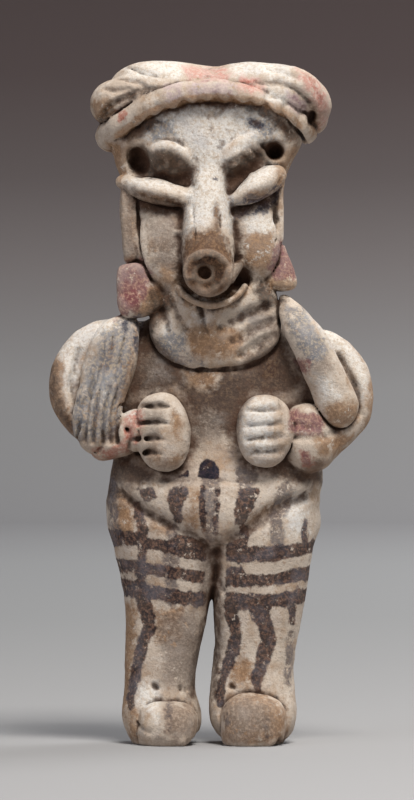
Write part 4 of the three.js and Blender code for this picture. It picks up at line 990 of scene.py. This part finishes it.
# Soil and painted shade: brown painted shade over whatever faces down, and soil and painted shade darker in
# # the hollows, nearly black in the deepest.
soil_and_painted_shade = {
    "facing_down": {"layer": SOIL_AND_SHADE, "from": 0.15, "to": 0.95, "cover": 0.60, "shade": "#7a5c46"},
    "far_hollow": {"layer": SOIL_AND_SHADE, "from": 0.04, "to": 0.28, "cover": 0.45, "shade": "#6b5140"},
    "wide_hollow": {"layer": SOIL_AND_SHADE, "from": 0.03, "to": 0.20, "cover": 0.85, "shade": "#5b4031"},
    "near_hollow": {"layer": SOIL_AND_SHADE, "from": 0.05, "to": 0.19, "cover": 0.90, "shade": "#2c1c13"},
}
layers = sorted([*paints.items(), *soil_and_painted_shade.items()], key=lambda item: item[1]["layer"])
for k, (name, coat) in enumerate(layers):
    amount = add(tree, "ShaderNodeAttribute", attribute_name=name).outputs["Fac"]
    if name in soil_and_painted_shade:
        patchy = (coat["to"] - coat["from"]) * 2.4
        uneven = add(
            tree, "ShaderNodeMath", {0: noise["mottle"], 1: patchy, 2: -patchy / 2}, operation="MULTIPLY_ADD"
        ).outputs[0]
        amount = add(tree, "ShaderNodeMath", {0: amount, 1: uneven}, operation="ADD").outputs[0]
        share = add(
            tree,
            "ShaderNodeMapRange",
            {"Value": amount, "From Min": coat["from"], "From Max": coat["to"], "To Max": coat["cover"]},
        ).outputs[0]
        colour = add(
            tree, "ShaderNodeMix", {0: share, 6: colour, 7: linear(coat["shade"])}, data_type="RGBA"
        ).outputs[2]
        continue
    # a paint wanders at its edge, flakes off in patches and in flecks, and is uneven in tone
    sway = 2 * coat["wander"]
    swayed = add(
        tree, "ShaderNodeMath", {0: noise["wander"], 1: -sway, 2: sway / 2}, operation="MULTIPLY_ADD"
    ).outputs[0]
    amount = add(tree, "ShaderNodeMath", {0: amount, 1: swayed}, operation="ADD").outputs[0]
    inside = add(
        tree,
        "ShaderNodeMapRange",
        {"Value": amount, "From Min": coat["soft"] / 2, "From Max": -coat["soft"] / 2},
        interpolation_type="SMOOTHSTEP",
    ).outputs[0]
    moved = add(
        tree, "ShaderNodeVectorMath", {0: millimetres, 1: (7.3 * k, 3.1 * k, 5.7 * k)}, operation="ADD"
    ).outputs[0]
    flaking = add(
        tree, "ShaderNodeTexNoise", {"Vector": moved, "Scale": 1 / 1.4, "Detail": 5, "Roughness": 0.75}
    ).outputs[0]
    kept = add(
        tree,
        "ShaderNodeMapRange",
        {
            "Value": flaking,
            "From Min": coat["flaked"] - 0.04,
            "From Max": coat["flaked"] + 0.05,
            "To Max": coat["cover"],
        },
        interpolation_type="SMOOTHSTEP",
    ).outputs[0]
    share = add(tree, "ShaderNodeMath", {0: inside, 1: kept}, operation="MULTIPLY").outputs[0]
    own, fleck, film = (linear(code) for code in coat["shades"])
    flecked = add(
        tree, "ShaderNodeMapRange", {"Value": noise["flecks"], "From Min": 0.46, "From Max": 0.64}
    ).outputs[0]
    tone = add(tree, "ShaderNodeMix", {0: flecked, 6: own, 7: fleck}, data_type="RGBA").outputs[2]
    filmed = add(
        tree, "ShaderNodeMapRange", {"Value": noise["stains"], "From Min": 0.48, "From Max": 0.66, "To Max": 0.5}
    ).outputs[0]
    tone = add(tree, "ShaderNodeMix", {0: filmed, 6: tone, 7: film}, data_type="RGBA").outputs[2]
    colour = add(tree, "ShaderNodeMix", {0: share, 6: colour, 7: tone}, data_type="RGBA").outputs[2]

# Specks of soil and grit over all, and pale rubbed places on what stands proud.
specks = add(
    tree, "ShaderNodeMapRange", {"Value": noise["grit"], "From Min": 0.60, "From Max": 0.72, "To Max": 0.5}
).outputs[0]
colour = add(tree, "ShaderNodeMix", {0: specks, 6: colour, 7: linear("#5f4a3a")}, data_type="RGBA").outputs[2]
proud = add(tree, "ShaderNodeAttribute", attribute_name="near_hollow").outputs["Fac"]
rubbed = add(
    tree, "ShaderNodeMapRange", {"Value": proud, "From Min": -0.02, "From Max": -0.14, "To Max": 0.2}
).outputs[0]
colour = add(tree, "ShaderNodeMix", {0: rubbed, 6: colour, 7: linear("#d9cbbb")}, data_type="RGBA").outputs[2]
shade = add(
    tree, "ShaderNodeMapRange", {"Value": noise["grit"], "From Min": 0.3, "From Max": 0.7, "To Min": 0.86, "To Max": 1.1}
).outputs[0]
colour = add(
    tree, "ShaderNodeMix", {0: 1.0, 6: colour, 7: shade}, data_type="RGBA", blend_type="MULTIPLY"
).outputs[2]
height = add(
    tree, "ShaderNodeMath", {0: noise["grit"], 1: 0.5, 2: noise["flakes"]}, operation="MULTIPLY_ADD"
).outputs[0]
bump = add(tree, "ShaderNodeBump", {"Height": height, "Strength": 0.6, "Distance": 0.0003}).outputs[0]
surface = add(
    tree, "ShaderNodeBsdfPrincipled", {"Base Color": colour, "Roughness": 0.8, "Normal": bump, "IOR": 1.45}
)
surface.inputs["Specular IOR Level"].default_value = 0.25
add(tree, "ShaderNodeOutputMaterial", {"Surface": surface.outputs[0]})
skin.materials.clear()
skin.materials.append(earthenware)

# The studio: a round bowl of matt paper far behind the figure, pale below and dark above as painted shade,
# and two softboxes with a third for the paper.
BOWL_RADIUS = 1.9
BOWL_FILLET = 0.3
BOWL_HEIGHT = 1.6
BOWL_SIDES = 96
profile = [(BOWL_RADIUS - BOWL_FILLET, 0.0)]
for angle in np.linspace(0, math.pi / 2, 17)[1:]:
    across = BOWL_RADIUS - BOWL_FILLET + BOWL_FILLET * math.sin(angle)
    profile.append((across, BOWL_FILLET - BOWL_FILLET * math.cos(angle)))
profile.append((BOWL_RADIUS, BOWL_HEIGHT))
corners = [(0, 0, 0)]
faces = []
for radius, height in profile:
    for k in range(BOWL_SIDES):
        turn = 2 * math.pi * k / BOWL_SIDES
        corners.append((radius * math.cos(turn), radius * math.sin(turn), height))
for k in range(BOWL_SIDES):
    after = (k + 1) % BOWL_SIDES
    faces.append((0, 1 + k, 1 + after))
    for ring in range(len(profile) - 1):
        a, b = 1 + ring * BOWL_SIDES + k, 1 + ring * BOWL_SIDES + after
        faces.append((a, a + BOWL_SIDES, b + BOWL_SIDES, b))
paper_mesh = bpy.data.meshes.new("studio_floor")
paper_mesh.from_pydata(corners, [], faces)
paper_mesh.update()
paper_mesh.shade_smooth()
floor = bpy.data.objects.new("studio_floor", paper_mesh)
bpy.context.scene.collection.objects.link(floor)

# Matt paper with painted light and shade: its tone goes by the length of paper from under the figure and up
# the back, in metres, darker at the top as painted shade, and it grows a little paler to the right as painted
# light, in a fan that opens with the distance.
paper = bpy.data.materials.new("matt_paper_painted_shade")
paper.use_nodes = True
tree = paper.node_tree
tree.nodes.clear()
place = add(tree, "ShaderNodeTexCoord").outputs["Object"]
sides = add(tree, "ShaderNodeSeparateXYZ", {0: place}).outputs
length = add(tree, "ShaderNodeMath", {0: sides["Y"], 1: sides["Z"]}, operation="ADD").outputs[0]
PAPER_NEAR = -0.2
PAPER_FAR = 2.2
share = add(tree, "ShaderNodeMapRange", {"Value": length, "From Min": PAPER_NEAR, "From Max": PAPER_FAR}).outputs[0]
ramp = add(tree, "ShaderNodeValToRGB", {0: share})
FAN_FROM = 0.9
opening = add(tree, "ShaderNodeMath", {0: sides["Y"], 1: FAN_FROM}, operation="ADD").outputs[0]
across = add(tree, "ShaderNodeMath", {0: sides["X"], 1: opening}, operation="DIVIDE").outputs[0]
painted_light_to_right = add(
    tree, "ShaderNodeMapRange", {"Value": across, "From Min": -0.07, "From Max": 0.07, "To Min": 0.92, "To Max": 1.08}
).outputs[0]
tone = add(
    tree, "ShaderNodeMix", {0: 1.0, 6: ramp.outputs[0], 7: painted_light_to_right}, data_type="RGBA", blend_type="MULTIPLY"
).outputs[2]
# The paper's tones, darkening upwards as painted shade.
PAINTED_SHADE_TONES = [
    (0.0, "#a4a4a6"),
    (0.3, "#a0a1a2"),
    (0.5, "#a5a6a7"),
    (0.74, "#a6a6a8"),
    (0.85, "#989797"),
    (0.9, "#7c7675"),
    (0.93, "#635b5a"),
    (0.96, "#544948"),
    (1.0, "#4c4140"),
]
for k, (position, code) in enumerate(PAINTED_SHADE_TONES):
    stop = ramp.color_ramp.elements[k] if k < 2 else ramp.color_ramp.elements.new(position)
    stop.position = position
    stop.color = linear(code)
surface = add(tree, "ShaderNodeBsdfPrincipled", {"Base Color": tone, "Roughness": 0.95})
add(tree, "ShaderNodeOutputMaterial", {"Surface": surface.outputs[0]})
paper_mesh.materials.append(paper)


def softbox(name, at, aim, size, watts, code):
    """A square light at one place that shines at another."""
    lamp = bpy.data.lights.new(name, "AREA")
    lamp.size = size
    lamp.energy = watts
    lamp.color = linear(code)[:3]
    holder = bpy.data.objects.new(name, lamp)
    holder.location = at
    holder.rotation_euler = (mathutils.Vector(aim) - mathutils.Vector(at)).to_track_quat("-Z", "Y").to_euler()
    bpy.context.scene.collection.objects.link(holder)


softbox("key_softbox", (0.16, -0.4, 0.74), (0, 0, 0.07), 0.3, 7.4, "#fffaf3")
softbox("fill_softbox", (-0.9, -0.8, 0.4), (0, 0, 0.06), 0.7, 2.8, "#f4f6ff")
softbox("paper_softbox", (0.8, 0.8, 1.2), (0.1, 1.8, 0.05), 1.0, 17.0, "#ffffff")
air = bpy.data.worlds.new("studio_air")
air.use_nodes = True
air.node_tree.nodes["Background"].inputs[0].default_value = linear("#f2f2f4")
air.node_tree.nodes["Background"].inputs[1].default_value = 0.4
bpy.context.scene.world = air

# The camera: level with the middle of the figure, straight in front of it, with a long lens. The frame is
# as tall as the photograph's at the figure's distance.
CAMERA_AWAY = 0.9
CAMERA_HEIGHT = 0.05524
FRAME_TALL = 0.12903
FILM_TALL = 36
lens = bpy.data.cameras.new("camera")
lens.sensor_fit = "VERTICAL"
lens.sensor_height = FILM_TALL
lens.lens = FILM_TALL * CAMERA_AWAY / FRAME_TALL
lens.clip_start = 0.01
camera = bpy.data.objects.new("camera", lens)
camera.location = (-0.00081, -CAMERA_AWAY + 0.0026, CAMERA_HEIGHT)
camera.rotation_euler = (math.pi / 2, 0, 0)
bpy.context.scene.collection.objects.link(camera)
bpy.context.scene.camera = camera
bpy.context.scene.view_settings.view_transform = "Standard"
